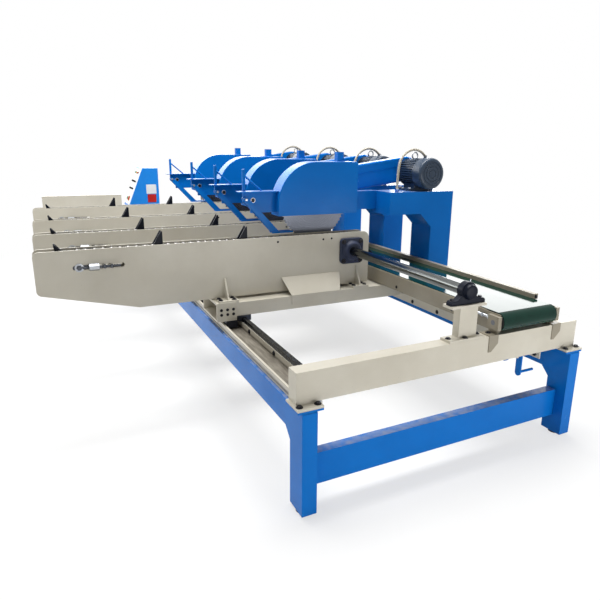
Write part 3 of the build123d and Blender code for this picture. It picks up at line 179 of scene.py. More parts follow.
def turned(profile, centre, axis, sides, turn=0.0):
    """A profile of (radius, height) pairs turned about an axis: each point stands at the centre, plus its
    height along the axis, plus its radius in the direction of its angle."""
    axis = np.asarray(axis, float) / np.linalg.norm(axis)
    side = np.cross(axis, UP if abs(axis[2]) < 0.9 else (1, 0, 0))
    side /= np.linalg.norm(side)
    other = np.cross(axis, side)
    angle = turn + np.arange(sides) * 2 * pi / sides
    ring = np.cos(angle)[:, None] * side + np.sin(angle)[:, None] * other
    profile = np.asarray(profile, float)
    return np.asarray(centre) + profile[:, 1, None, None] * axis + profile[:, 0, None, None] * ring


def bolt(place, axis, r, head):
    """A washer and a chamfered hexagon head standing on a face, as two turned profiles."""
    washer = [(1.45 * r, 0), (1.45 * r, 1.6), (1.35 * r, 2.2), (r, 2.2)]
    cap = [(r, 2), (r, 0.82 * head), (0.87 * r, head), (0.6 * r, head)]
    return [turned(washer, place, axis, 14), turned(cap, place, axis, 6, 0.3)]


def steel(name, tone, deep, grain, roughness, metallic=1.0, run=(1.0, 1.0, 1.0), oil=0.04):
    """Worked steel: streaks of grain mm wide, drawn out along a direction, under a patchy film of oil."""
    material, tree, shader, spot = start_material(name)
    line = add(tree, "Mapping", {"Scale": run}, {"Vector": spot})
    streak = add(tree, "TexNoise", {"Scale": 1000 / grain, "Detail": 3.0}, {"Vector": line.outputs[0]})
    body = add(tree, "Mix", {"data_type": "RGBA", 6: linear(tone), 7: linear(deep)}, {0: streak.outputs[0]})
    tree.links.new(body.outputs[2], shader.inputs["Base Color"])
    film = add(tree, "TexNoise", {"Scale": 1 / 0.06, "Detail": 4.0}, {"Vector": spot})
    sheen = add(tree, "MapRange", {1: 0.35, 2: 0.65, 3: roughness + oil, 4: roughness - oil},
                {0: film.outputs[0]})
    tree.links.new(sheen.outputs[0], shader.inputs["Roughness"])
    bump = add(tree, "Bump", {"Strength": 0.12, "Distance": 0.0005}, {"Height": streak.outputs[0]})
    tree.links.new(bump.outputs[0], shader.inputs["Normal"])
    shader.inputs["Metallic"].default_value = metallic
    return material


# Blacked screws: dark with a dull metallic edge. Zinc plate: pale grey, slightly cloudy
black_steel = steel("blacked steel", "#26262c", "#17171c", 6, 0.4, 0.7)
zinc_steel = steel("zinc plated steel", "#b9bcc0", "#94989d", 8, 0.3)
BASE_X, BASE_Y = 1515, 3900    # over the legs
foot_x, foot_y = 37.5, 12.5    # from the outer faces of the legs to the middle of a foot
pad = [(29, 0), (30, 0.8), (30, 3.2), (27, 5), (14, 5.6)]
lock_nut = [(15, 5), (15, 8), (13, 9)]
stem = [(8, 8.5), (8, 78)]
feet, screws = [], []
for x in (foot_x, BASE_X - foot_x):
    for y in (foot_y, BASE_Y - foot_y):
        feet += [turned(pad, (x, y, 0), UP, 32), turned(lock_nut, (x, y, 0), UP, 6),
                 turned(stem, (x, y, 0), UP, 16)]
plate_top, plate_out = 470, 19    # height of the foot plates, and how far out their screws stand
for x in (5, 81, BASE_X - 81, BASE_X - 5):
    for y in (-plate_out, BASE_Y + plate_out):
        screws += bolt((x, y, plate_top), UP, 10, 9)
skin("levelling_feet", feet, black_steel, "base", ["frame_hardware"])
skin("foot_plate_bolts", screws, black_steel, "base", ["frame_hardware"])

# End beams: deep box sections across both ends, on foot plates, with the lever's bearing plate.
# Folded and welded steel, satin cream enamel.
# Satin enamel: warm pale grey, even, with soft broad highlights
CREAM = ("#c9c4b6", "#bdb7a8", "#7d6a55", 0.4, 0.08, 0.0, 0.45)
cream_enamel = enamel("cream satin enamel", *CREAM)
dress("end_beams", cream_enamel, 5)

# Rails: a floor, a low lip, the bar under each guide and a web below it, in one length each.
# Planed steel in the same cream enamel; blacked screws through the bar and the web.
# Enamel in a trough: the floor between lip and bar is painted darker brown
rail_enamel = enamel("cream enamel darker on the trough floor", *CREAM)
tree = rail_enamel.node_tree
shader = tree.nodes["Principled BSDF"]
spot = add(tree, "TexCoord").outputs["Object"]
# Only the trough's floor, about 460 to 470 mm above the ground, is darkened
height = add(tree, "SeparateXYZ", links={0: spot})
above = add(tree, "MapRange", {1: 0.466, 2: 0.476, 3: 0.85, 4: 0.0}, {0: height.outputs[2]})
floor_only = add(tree, "MapRange", {1: 0.458, 2: 0.461}, {0: height.outputs[2]})
trough_floor_share = add(tree, "Math", {"operation": "MULTIPLY"}, {0: above.outputs[0], 1: floor_only.outputs[0]})
# Smears 15 mm across, drawn out along the rail
along = add(tree, "Mapping", {"Scale": (1, 0.15, 1)}, {"Vector": spot})
smear = add(tree, "TexNoise", {"Scale": 1 / 0.015, "Detail": 4.0}, {"Vector": along.outputs[0]})
patch = add(tree, "MapRange", {1: 0.3, 2: 0.6, 3: 0.7, 4: 1.0}, {0: smear.outputs[0]})
trough_floor_share = add(tree, "Math", {"operation": "MULTIPLY"}, {0: trough_floor_share.outputs[0], 1: patch.outputs[0]})
trough_floor_darkening = add(tree, "Mix", {"data_type": "RGBA", 7: linear("#4a4238")},
            {0: trough_floor_share.outputs[0], 6: shader.inputs["Base Color"].links[0].from_socket})
tree.links.new(trough_floor_darkening.outputs[2], shader.inputs["Base Color"])
dress("rails", rail_enamel, 1.2)
bar_face, web_face, rail_end = 118, 148, 3800
screws = []
for y in np.arange(173, rail_end, 333.0):
    for x, way in ((bar_face, -1), (BASE_X - bar_face, 1)):
        screws += bolt((x, y, 478), (way, 0, 0), 9, 7)
for y in np.arange(103, rail_end, 257.0):
    for x, way in ((web_face, 1), (BASE_X - web_face, -1)):
        screws += bolt((x, y, 413), (way, 0, 0), 9, 7)
skin("rail_bolts", screws, black_steel, "base")


# Guide rails: hardened and ground profile rails with a waist on each side and screw holes on top.
# Bare steel under a film of oil; the holes are closed by dark plugs.
def carried(outline, path, axis):
    """An outline in the two other axes, carried along one axis through the given places."""
    outline, path = np.asarray(outline, float), np.asarray(path, float)
    grid = np.empty((len(path), len(outline), 3))
    grid[..., [k for k in range(3) if k != axis]] = outline
    grid[..., axis] = path[:, None]
    return grid


# Ground steel under oil: dark grey with long streaks along the rail
guide_steel = steel("hardened guide steel", "#62656b", "#3f4248", 8, 0.26, run=(1, 0.03, 1), oil=0.08)
half = np.array([(11.5, 496), (11.5, 503), (9.2, 506), (9.2, 509), (11.5, 512), (11.5, 517), (10.5, 518)])
GUIDES_X = (133, BASE_X - 133)
guide_top, guide_in, hole_step = 518, 70.5, 80.0
bars, plugs = [], []
for x in GUIDES_X:
    outline = np.concatenate([half + (x, 0), half[::-1] * (-1, 1) + (x, 0)])
    bars.append(carried(outline, (guide_in, BASE_Y - guide_in), 1))
    for y in np.arange(110, BASE_Y - 90, hole_step):
        plugs.append(turned([(5.5, 0), (5.5, 0.3), (4.6, 0.4)], (x, y, guide_top), UP, 10))
skin("profile_rails", bars, guide_steel, "base", ["guide_rails"])
skin("rail_plugs", plugs, black_steel, "base", ["guide_rails"])

# Shaft pedestals: folded channels with a plate above and below, bolted on the end beams.
# Cream enamel; the base screws are blacked.
dress("shaft_pedestals", cream_enamel, 1.5)
base_top = 612
screws = []
for x, y in ((735, 33), (811, 10), (896, 33)):
    screws += bolt((x, y, base_top), UP, 9, 7) + bolt((x, BASE_Y - y, base_top), UP, 9, 7)
skin("pedestal_bolts", screws, black_steel, "base")


# Pillow blocks: cast housings with an insert bearing, an end cover and two screws in the feet.
# Cast iron in navy enamel, a little rough from the sand.
def slab(outline, span, axis, ease):
    """An outline (anticlockwise) carried along an axis with both rims rounded: it is drawn in by
    ease * (1 - sin t) and stands ease * (1 - cos t) from the end, with t from 0 to a right angle."""
    outline = np.asarray(outline, float)
    first = outline - np.roll(outline, 1, axis=0)
    second = np.roll(outline, -1, axis=0) - outline
    first /= np.linalg.norm(first, axis=1, keepdims=True)
    second /= np.linalg.norm(second, axis=1, keepdims=True)
    square = ((first + second) / (1 + np.sum(first * second, axis=1, keepdims=True)))[:, ::-1] * (1, -1)
    t = np.linspace(0, pi / 2, 4)
    draw = ease * (1 - np.sin(t))
    step = ease * (1 - np.cos(t))
    grid = carried(outline, np.concatenate([span[0] + step, span[1] - step[::-1]]), axis)
    inwards = np.concatenate([draw, draw[::-1]])[:, None, None] * square
    grid[..., [k for k in range(3) if k != axis]] -= inwards
    return grid


def arc(x, z, r, start, end, count):
    """Points on a circle from one angle to another, in degrees."""
    t = np.radians(np.linspace(start, end, count))
    return np.stack([x + r * np.cos(t), z + r * np.sin(t)], axis=-1)


def box_outline(x0, x1, z0, z1, r):
    """A rectangle with rounded corners, anticlockwise."""
    return np.concatenate([arc(x1 - r, z1 - r, r, 0, 90, 5), arc(x0 + r, z1 - r, r, 90, 180, 5),
                           arc(x0 + r, z0 + r, r, 180, 270, 5), arc(x1 - r, z0 + r, r, 270, 360, 5)])


# Cast iron in enamel: nearly black blue, dull, with the grain of the casting
cast_navy = enamel("navy enamel on cast iron", "#0f1523", "#0a0f1a", "#3b322c", 0.34, 0.0, 0.0, 0.3,
                   gloss=0.12)
SHAFT = (815, 820)    # its axis, x and z
housing = np.concatenate([[(910, 763), (910, 775), (904, 782), (872, 786)], arc(*SHAFT, 41, -24, 204, 25),
                          [(758, 786), (726, 782), (720, 775), (720, 763)]])
end_cover = [(36, 0), (36, 4), (33, 7), (31, 17), (26, 20), (8, 20)]
rear_cover = [(34, 0), (34, 6), (29, 9), (26, 9)]
nipple = [(4, 0), (4, 4), (2.5, 6), (3.5, 9), (2, 12)]
casting, screws, nipples = [], [], []
for face, way in ((12, -1), (BASE_Y - 12, 1)):
    middle, rear = face - 18 * way, face - 36 * way
    casting.append(slab(housing, sorted((face, rear)), 1, 4))
    casting.append(turned(end_cover, (SHAFT[0], face, SHAFT[1]), (0, way, 0), 32))
    casting.append(turned(rear_cover, (SHAFT[0], rear, SHAFT[1]), (0, -way, 0), 32))
    for x in (738, 892):
        screws += bolt((x, middle, 781), UP, 10, 10)
    nipples.append(turned(nipple, (830, middle, 857), (0.3, 0, 1), 8))
skin("bearing_housings", casting, cast_navy, "base", ["pillow_blocks"])
skin("bearing_screws", screws, black_steel, "base", ["pillow_blocks"])
skin("grease_nipples", nipples, zinc_steel, "base", ["pillow_blocks"])

# Drive shaft: one ground bar through all the chain arms, in the pillow blocks.
# Bare bright steel, oiled against rust.
# Ground steel: pale above where it mirrors the room, dark below
shaft_steel = steel("ground shaft steel", "#757775", "#565a5b", 5, 0.18, run=(1, 0.05, 1), oil=0.04)
dress("drive_shaft", shaft_steel)


# Gearmotor: a cast gear case that hangs on the far end of the shaft, with a finned motor at its side.
# Slate enamel on cast iron and aluminium; its angle bracket is welded plate in cream.
def finned(x, z, root, tip, count):
    """A round motor frame with straight cooling fins: the radius steps between root and tip."""
    share = np.tile([-0.3, -0.17, 0.17, 0.3], count) + np.repeat(np.arange(count), 4)
    angle = share * 2 * pi / count
    r = np.tile([root, tip, tip, root], count)
    return np.stack([x + r * np.cos(angle), z + r * np.sin(angle)], axis=-1)


# A pressed fan cowl with ringed slots, as shares of its radius and mm along
FAN_COWL = [(0.97, 0), (1, 2), (1, 66), (0.97, 76), (0.9, 82), (0.81, 84), (0.74, 84), (0.72, 81),
            (0.66, 81), (0.64, 84), (0.53, 84), (0.51, 81), (0.45, 81), (0.43, 84), (0.3, 84), (0.28, 81),
            (0.21, 81), (0.19, 84), (0.05, 84)]
# Machine enamel on aluminium: blue grey, half matt
slate_enamel = enamel("slate enamel on aluminium", "#2c3b4d", "#243242", "#171c22", 0.34, 0.05, 0.0, 0.3)
case_x, case_end = (730, 900), 4034
motor_y, fin_r = 3974, 72
cowl = [(fin_r * share, along * 0.76) for share, along in FAN_COWL]
case = [slab(box_outline(*case_x, 735, 905, 24), (3914, case_end), 1, 8),
        turned([(66, -2), (66, 5), (60, 8), (27, 8)], (SHAFT[0], case_end, SHAFT[1]), (0, 1, 0), 32),
        turned([(82, -2), (82, 10), (74, 14), (74, 16)], (case_x[1], motor_y, SHAFT[1]), (1, 0, 0), 32),
        slab(finned(motor_y, SHAFT[1], fin_r - 8, fin_r, 30), (914, 1076), 0, 1),
        turned(cowl, (1074, motor_y, SHAFT[1]), (1, 0, 0), 32),
        slab(box_outline(950, 1030, motor_y - 40, motor_y + 40, 8), (885, 925), 2, 3)]
skin("gear_case_and_motor", case, slate_enamel, "base", ["chain_gearmotor"])
bracket = [slab(box_outline(*case_x, BASE_Y, case_end, 3), (725, 735), 2, 1),
           slab(box_outline(*case_x, 470, 726, 3), (BASE_Y, BASE_Y + 10), 1, 1)]
skin("gear_bracket", bracket, cream_enamel, "base", ["chain_gearmotor"])
screw_r = 52
screws = []
for turn in np.arange(6) * pi / 3:
    screws += bolt((SHAFT[0] + screw_r * cos(turn), case_end + 7, SHAFT[1] + screw_r * sin(turn)),
                   (0, 1, 0), 6, 6)
for x in (752, 878):
    for z in (500, 570):
        screws += bolt((x, BASE_Y + 10, z), (0, 1, 0), 9, 8)
skin("gear_screws", screws, black_steel, "base", ["chain_gearmotor"])


# Conveyor frame: two folded side panels with a slider bed, a guard rail and a take-up at each corner.
# Sheet steel in cream enamel, painted greyer as shade; take-up screws with lock nuts in zinc plate.
def threaded(r, depth, span, step):
    """A screw's profile: along the span, every second point stands out from the radius by the depth."""
    along = np.arange(*span, step)
    return np.stack([r + depth * (np.arange(len(along)) % 2), along], axis=-1)


# Satin cream enamel painted a dull warm grey as shade
shaded_conveyor_enamel = enamel("cream satin enamel with painted shade", "#948d7d", "#857e6e", "#5f5140", 0.36, 0.05, 0.0, 0.45)
dress("conveyor_frame", shaded_conveyor_enamel, 0.8)
take_up_z, left_up, right_up = 672, 986, 1354
nuts, screws = [], []
for x, foot in ((left_up, left_up - 17), (right_up, right_up + 17)):
    for start, way in ((53, 1), (BASE_Y - 53, -1)):
        centre, axis = (x, start, take_up_z), (0, way, 0)
        nuts.append(turned(threaded(6.2, 0.5, (14, 109), 1.5), centre, axis, 12))
        nuts.append(turned([(11, 0), (11, 8), (9.5, 9)], centre, axis, 6))
        nuts.append(turned([(11, 40), (11, 48), (9.5, 49)], centre, axis, 6))
    for y in (36, BASE_Y - 36):
        screws += bolt((foot, y, 604), UP, 9, 7)
screws += bolt((right_up, 125, 707), (0, -1, 0), 7, 6)
for y in np.arange(320, 3700, 480.0):
    screws += bolt((left_up + 10, y, 632), (-1, 0, 0), 6, 4) + bolt((right_up - 10, y, 632), (1, 0, 0), 6, 4)
skin("take_up_screws", nuts, zinc_steel, "base")
skin("conveyor_bolts", screws, black_steel, "base")

# Belt: a green PVC conveyor belt round two steel rollers.
# Its smooth skin is polished by the timber and mirrors the room at a low angle.
# Polished PVC: deep green, long faint streaks along the run, glossy
belt_green, tree, shader, spot = start_material("polished green PVC belt")
along = add(tree, "Mapping", {"Scale": (1, 0.08, 1)}, {"Vector": spot})
rub = add(tree, "TexNoise", {"Scale": 1 / 0.05, "Detail": 4.0}, {"Vector": along.outputs[0]})
skin_tone = add(tree, "Mix", {"data_type": "RGBA", 6: linear("#12392f"), 7: linear("#0c2820")},
                {0: rub.outputs[0]})
tree.links.new(skin_tone.outputs[2], shader.inputs["Base Color"])
dull = add(tree, "MapRange", {1: 0.35, 2: 0.7, 3: 0.06, 4: 0.13}, {0: rub.outputs[0]})
tree.links.new(dull.outputs[0], shader.inputs["Roughness"])
# The cloth weave under the skin is about 1 mm; drawn at 6 mm so that it shows
weave = add(tree, "TexWave", {"Scale": 1 / 0.006 / 6.28, "bands_direction": "X"}, {"Vector": spot})
bump = add(tree, "Bump", {"Strength": 0.02, "Distance": 0.0005}, {"Height": weave.outputs[1]})
tree.links.new(bump.outputs[0], shader.inputs["Normal"])
shader.inputs["IOR"].default_value = 1.52
shader.inputs["Specular IOR Level"].default_value = 0.12
dress("conveyor_belt", belt_green)
# Turned steel: mid grey with fine rings
wheel_steel = steel("turned wheel steel", "#82848a", "#5f6167", 6, 0.32, oil=0.08)
dress("belt_tail_roller", wheel_steel)
dress("belt_drive_roller", wheel_steel)

# Hand lever: a flat arm on a cross shaft behind the near beam, with a round grip rod.
# Welded flat and round bar in the same blue enamel.
dress("hand_lever", blue_enamel, 1)

# Fixed arm: a plain box beam level with the chain arms, held out by a saddle and a post on the far
# end beam. Welded sheet in the same cream enamel.
dress("fixed_arm", cream_enamel, 2)

# Console: a folded housing with a sloped front on a column behind the far left leg.
# Lighter blue enamel, partly painted light, with a white front plate for lamps, selector switches and the
# push buttons.
# Azure enamel: a lighter, cleaner blue than the frame's, partly its own paint, as on bought housings, and
# partly painted light from a window on its left
azure_enamel_with_painted_light = enamel("azure enamel with painted window light", "#2688e0", "#2280d6", "#0c2c55", 0.25, 0.0, 0.1, 0.3,
                      gloss=0.1)
dress("console", azure_enamel_with_painted_light, 3)
slope_foot = np.array([0, 3961, 800.0])
slope_way = np.array([150, 0, 365]) / hypot(150, 365)
slope_out = np.array([-365, 0, 150]) / hypot(150, 365)


def on_slope(loft):
    """A loft drawn with up-slope, along-Y and outward distances, laid on the console's sloped front."""
    return slope_foot + loft[..., :1] * slope_way + loft[..., 1:2] * (0, 1, 0) + loft[..., 2:] * slope_out


# White enamel and moulded caps: clean, glossy, single tones with a faint unevenness
white_enamel = enamel("white enamel plate", "#e3e5e6", "#d8dadb", "#9a9a9a", 0.35, 0.1, 0.0, 0.2)
red_cap = enamel("red moulded plastic", "#bd1f1c", "#a81815", "#7a0f0c", 0.3, 0.0, 0.0, 0.1)
amber_cap = enamel("amber moulded plastic", "#e0a21a", "#cf9112", "#8a5f0c", 0.3, 0.0, 0.0, 0.1)
green_cap = enamel("green moulded plastic", "#1f8a48", "#187540", "#0f4a25", 0.3, 0.0, 0.0, 0.1)
black_cap = enamel("black moulded plastic", "#2b2b2d", "#1d1d1f", "#101010", 0.5, 0.0, 0.0, 0.1)
plate = [on_slope(slab(box_outline(14, 382, 12, 308, 10), (-1, 2.5), 2, 1)),
         slab(box_outline(175, 271, 918, 1008, 4), (3958.5, 3962), 1, 1)]
skin("console_plates", plate, white_enamel, "base")
skin("switch_plate", [slab(box_outline(183, 265, 834, 912, 4), (3957.5, 3962), 1, 1)],
     red_cap, "base")
# Rows of lamps and switches up the slope, and the two push buttons, with outwards as their third way
LAMP_ROW, SWITCH_ROWS, COLUMNS = 340, (250, 175), (90, 160, 230)
STOP, START, OUT = (71, 130, 0), (71, 190, 0), (0, 0, 1)
collars, knobs = [], []
for v in COLUMNS:
    collars.append(on_slope(turned([(13, 2), (13, 6), (11, 8), (8, 8)], (LAMP_ROW, v, 0), OUT, 20)))
    for u in SWITCH_ROWS:
        collars.append(on_slope(turned([(13, 2), (13, 4), (11, 5), (8, 5)], (u, v, 0), OUT, 20)))
        knobs.append(on_slope(turned([(9, 5), (9, 12), (7, 13)], (u, v, 0), OUT, 16)))
        knobs.append(on_slope(slab(box_outline(u - 10, u + 10, v - 2.5, v + 2.5, 2), (12, 19), 2, 1)))
dome = [(9, 6), (9, 10), (8, 13), (5, 15.5), (1.5, 16.2)]
for v, lens in zip(COLUMNS, (red_cap, amber_cap, green_cap)):
    skin(f"signal_lamp_{v}", [on_slope(turned(dome, (LAMP_ROW, v, 0), OUT, 20))], lens, "base")
collars.append(on_slope(turned([(17, 2), (17, 4), (15, 5), (11.5, 5)], START, OUT, 24)))
skin("switch_collars", collars, zinc_steel, "base")
skin("selector_knobs", knobs, black_cap, "base")
skin("stop_shroud", [on_slope(turned([(30, 2), (30, 3), (27, 4), (12, 4)], STOP, OUT, 28))],
     amber_cap, "base")
mushroom = [(11, -22), (11, 6), (19, 6), (21, 8), (21, 11), (18.5, 13.6), (12, 14.6), (3, 15)]
skin("stop_mushroom", [on_slope(turned(mushroom, STOP, OUT, 28))], red_cap,
     "emergency_stop", ["emergency_stop"])
push = [(11, -22), (11, 6), (13.4, 6), (14, 7), (14, 13), (12.6, 15), (4, 14.4)]
skin("start_push", [on_slope(turned(push, START, OUT, 28))], green_cap,
     "start_button", ["start_button"])

# Carriages: box tubes with an open sleeve at each end that run on the guide rails, one for each saw.
# Welded and painted cream, with steel runner blocks below and screws through the sleeves and pads.
LANES = {1: 1025, 2: 1550, 3: 2130, 4: 2835}    # where each unit's near arm plate stands
saddle = np.array([(35.5, 502.6), (35.5, 531.6), (-35.5, 531.6), (-35.5, 502.6), (-13, 502.6),
                   (-13, 519.4), (13, 519.4), (13, 502.6)])
# Blued runner steel: dark, smooth, lightly oiled
runner_steel = steel("blued runner steel", "#33363f", "#22252d", 8, 0.35, 0.8)
for lane, y in LANES.items():
    dress(f"carriage_{lane}", cream_enamel, 1.2)
    runners, screws = [], []
    for x in GUIDES_X:
        for start in (y - 71, y + 109):
            for ends in ((-0.5, 80.5), (-4, -0.4), (80.4, 84)):    # the block and its two wipers
                runners.append(slab(saddle + (x, 0), (start + ends[0], start + ends[1]), 1, 0.8))
    runners.append(slab(box_outline(32.4, 93.6, 470.4, 511.4, 4), (y - 71.5, y + 19.5), 1, 2))
    for x in (7, 40, 72, 1471, 1504, 1537):
        for z in (548, 574):
            screws += bolt((x, y - 74, z), (0, -1, 0), 5.5, 5) + bolt((x, y + 192, z), (0, 1, 0), 5.5, 5)
    for x in (12, 85, 812, 885):
        for front in (-52, -18):
            screws += bolt((x, y + front, 620), UP, 9, 8)
    skin(f"runner_blocks_{lane}", runners, runner_steel, f"unit_{lane}")
    skin(f"carriage_bolts_{lane}", screws, black_steel, f"unit_{lane}")

# Chain arms: two side plates held apart by the chain shelf and the floor, bolted on the carriage's
# pads. Cut plate in cream enamel with a few button screws.
button = [(6, 0), (6, 1.2), (4.6, 3), (2, 3.6)]
for lane, y in LANES.items():
    dress(f"arm_{lane}", cream_enamel, 0.8)
    heads = [turned(button, (x, y, z), (0, -1, 0), 12) for x, z in ((357, 899), (635, 896), (688, 898))]
    skin(f"arm_buttons_{lane}", heads, black_steel, f"unit_{lane}")

# Feed chains: oiled roller chain round two wheels, 90 links of about 38 mm.
# Pairs of pusher plates in blue-black enamel are welded to the links, at about every twelfth of them.
TAIL, DRIVE = (-640, 843, 72), (*SHAFT, 95)    # the wheels' axes, x and z, and pitch radii
reach = hypot(DRIVE[0] - TAIL[0], DRIVE[1] - TAIL[1])
tilt = atan2(DRIVE[1] - TAIL[1], DRIVE[0] - TAIL[0])
lean = acos((TAIL[2] - DRIVE[2]) / reach)
run = reach * sin(lean)
lengths = np.cumsum([0, run, DRIVE[2] * 2 * lean, run, TAIL[2] * (2 * pi - 2 * lean)])


def on_chain(s):
    """Place and heading on the chain at the length s: straight above, round the drive wheel, straight
    below, then round the tail wheel."""
    s = np.asarray(s, float) % lengths[4]
    stretch = np.searchsorted(lengths, s, side="right") - 1
    part = s - lengths[stretch]
    angle = np.select([stretch == 0, stretch == 1, stretch == 2],
                      [tilt + lean, tilt + lean - part / DRIVE[2], tilt - lean], tilt - lean - part / TAIL[2])
    heading = angle - pi / 2
    wheel = np.where(((stretch == 0) | (stretch == 3))[..., None], TAIL, DRIVE)
    ahead = np.where((stretch == 0) | (stretch == 2), part, 0)
    x = wheel[..., 0] + wheel[..., 2] * np.cos(angle) + ahead * np.cos(heading)
    z = wheel[..., 1] + wheel[..., 2] * np.sin(angle) + ahead * np.sin(heading)
    return np.stack([x, z], axis=-1), heading


LINKS = 90
PLATE_T, MID_CHAIN = 3, 40    # a link plate's thickness, and from the arm's near plate to the middle
pins = on_chain(np.arange(LINKS) * lengths[4] / LINKS)[0]
chords = np.roll(pins, -1, axis=0) - pins
pitch = np.linalg.norm(chords, axis=1)
ways = chords / pitch[:, None]
# Each link's side plate is waisted: two round ends about its pins and a narrower middle
plate = np.concatenate([arc(1, 0, 0.25, -70, 70, 5), [(0.5, 0.17)],
                        arc(0, 0, 0.25, 110, 250, 5), [(0.5, -0.17)]])
across = np.stack([-ways[:, 1], ways[:, 0]], axis=-1)
links_xz = pins[:, None] + (plate[None, :, :1] * ways[:, None]
                            + plate[None, :, 1:] * across[:, None]) * pitch[:, None, None]
# Oiled chain: brown grey, with darker streaks
chain_steel = steel("oiled chain steel", "#8d8983", "#55514c", 10, 0.28, 1.0, oil=0.1)
# Enamel on cut plate: nearly black with a blue cast, chipped by the timber
pusher_enamel = enamel("blue black enamel on plate", "#10141f", "#0b0e17", "#3d3a36", 0.34, 0.0, 0.0, 0.5,
                       gloss=0.12)
pusher_side = np.array([(-48, 7), (0, 7), (0, 72), (-3, 75), (-6, 75), (-9, 72)])
spots, headings = on_chain(830 - np.arange(7) * 440.0)    # seven pushers, 440 mm apart
for lane, y in LANES.items():
    links = []
    for k in range(LINKS):
        wide = 19.5 if k % 2 else 15.5    # outer and inner links take turns
        for side in (MID_CHAIN - wide, MID_CHAIN + wide - PLATE_T):
            links.append(carried(links_xz[k], (y + side, y + side + PLATE_T), 1))
        links.append(turned([(8, 27), (8, 53)], (pins[k, 0], y, pins[k, 1]), (0, 1, 0), 8))
    skin(f"chain_links_{lane}", links, chain_steel, f"unit_{lane}", [f"chain_set_{lane}"])
    pushers = []
    for spot_xz, heading in zip(spots, headings):
        ahead = np.array([cos(heading), sin(heading)])
        above = np.array([-sin(heading), cos(heading)])
        outline = spot_xz + pusher_side[:, :1] * ahead + pusher_side[:, 1:] * above
        pushers += [slab(outline, (y + 20, y + 26), 1, 1), slab(outline, (y + 54, y + 60), 1, 1)]
    skin(f"pushers_{lane}", pushers, pusher_enamel, f"unit_{lane}", [f"chain_set_{lane}"])

# Flange bearings and chain tensioner: square cast flanges on both plates round the drive shaft, and the
# tail axle with a coupling nut and a threaded rod in its slot. Grey navy iron; zinc plated coupling.
# Cast iron in enamel: dark grey blue, dull
flange_navy = enamel("grey navy enamel on cast iron", "#393f53", "#2e3445", "#3b322c", 0.36, 0.0, 0.0, 0.3,
                     gloss=0.15)
ARM_Y, FLANGE, FLANGE_T, HOLE = 80, 75, 20, 56    # arm width; flange's half side, thickness and holes
boss = [(64, 16), (60, 22), (52, 30), (50, 38), (45, 42), (34, 42), (34, 36), (25.5, 36)]
axle_washer = [(20, 0), (20, 3), (18.5, 4), (13, 4)]
axle_nut = [(13, 3), (13, 9), (11.5, 11), (8, 11), (8, 14), (6.5, 15)]
coupling = [(17, 0), (17, 44), (15, 46)]
rod_nut = [(11, 0), (11, 9), (9.5, 10)]
rod = threaded(5.4, 0.9, (0, 170), 2.0)
flange = box_outline(SHAFT[0] - FLANGE, SHAFT[0] + FLANGE, SHAFT[1] - FLANGE, SHAFT[1] + FLANGE, 24)
for lane, y in LANES.items():
    casting, screws, bright, rods = [], [], [], []
    for face, way in ((y, -1), (y + ARM_Y, 1)):
        front, line, out = face + FLANGE_T * way, face + 8 * way, (0, way, 0)
        casting.append(slab(flange, sorted((face, front)), 1, 4))
        casting.append(turned(boss, (SHAFT[0], face, SHAFT[1]), out, 32))
        for x in (SHAFT[0] - HOLE, SHAFT[0] + HOLE):
            for z in (SHAFT[1] - HOLE, SHAFT[1] + HOLE):
                screws += bolt((x, front, z), out, 10, 10)
        bright.append(turned(axle_washer, (TAIL[0], face, TAIL[1]), out, 28))
        rods.append(turned(axle_nut, (TAIL[0], face, TAIL[1]), out, 6))
        bright.append(turned(coupling, (TAIL[0] + 42, line, TAIL[1]), (1, 0, 0), 6, pi / 6))
        for x in (TAIL[0] + 105, TAIL[0] + 137):
            rods.append(turned(rod_nut, (x, line, TAIL[1]), (1, 0, 0), 6))
        rods.append(turned(rod, (TAIL[0] + 14, line, TAIL[1]), (1, 0, 0), 10))
    rods.append(turned([(10, 0), (10, ARM_Y)], (TAIL[0], y, TAIL[1]), (0, 1, 0), 16))
    nodes = [f"chain_set_{lane}"]
    skin(f"flange_bearings_{lane}", casting, flange_navy, f"unit_{lane}", nodes)
    skin(f"flange_bolts_{lane}", screws, black_steel, f"unit_{lane}", nodes)
    skin(f"tensioner_coupling_{lane}", bright, zinc_steel, f"unit_{lane}", nodes)
    skin(f"tensioner_rods_{lane}", rods, guide_steel, f"unit_{lane}", nodes)
    dress(f"drive_sprocket_{lane}", wheel_steel)
    dress(f"tail_sprocket_{lane}", wheel_steel)

# Saw stands: a post and header cut as one box, with the arm that carries the spindle housing.
# Welded plate in blue enamel; a conduit gland is screwed into the top of the header.
HEADER_TOP = 1145
GLAND_X, GLAND_Y = 1163, 58    # the gland's place on the header
for lane, y in LANES.items():
    dress(f"stand_{lane}", blue_enamel, 2.5)
    foot = (GLAND_X, y + GLAND_Y, HEADER_TOP)
    gland = [turned([(14, 0), (14, 10), (12.5, 11)], foot, UP, 6),
             turned([(12, 10), (12, 20), (10, 24), (8.4, 24)], foot, UP, 20)]
    skin(f"header_gland_{lane}", gland, zinc_steel, f"unit_{lane}")


# Hoods: a folded sheet cover over each blade with a square dust spout, open below.
# Beside it the belt guard with its lid, and the bracket that carries the hold-down fork.
# All in blue enamel; the fork hangs on a pivot with zinc plated nuts.
def hull(a, b):
    """The outline round two circles (x, z, radius): an arc on each, joined by the outer tangents."""
    base = np.degrees(atan2(b[1] - a[1], b[0] - a[0]))
    open_angle = np.degrees(acos((a[2] - b[2]) / hypot(b[0] - a[0], b[1] - a[1])))
    return np.concatenate([arc(*b, base - open_angle, base + open_angle, 14),
                           arc(*a, base + open_angle, base - open_angle + 360, 14)])


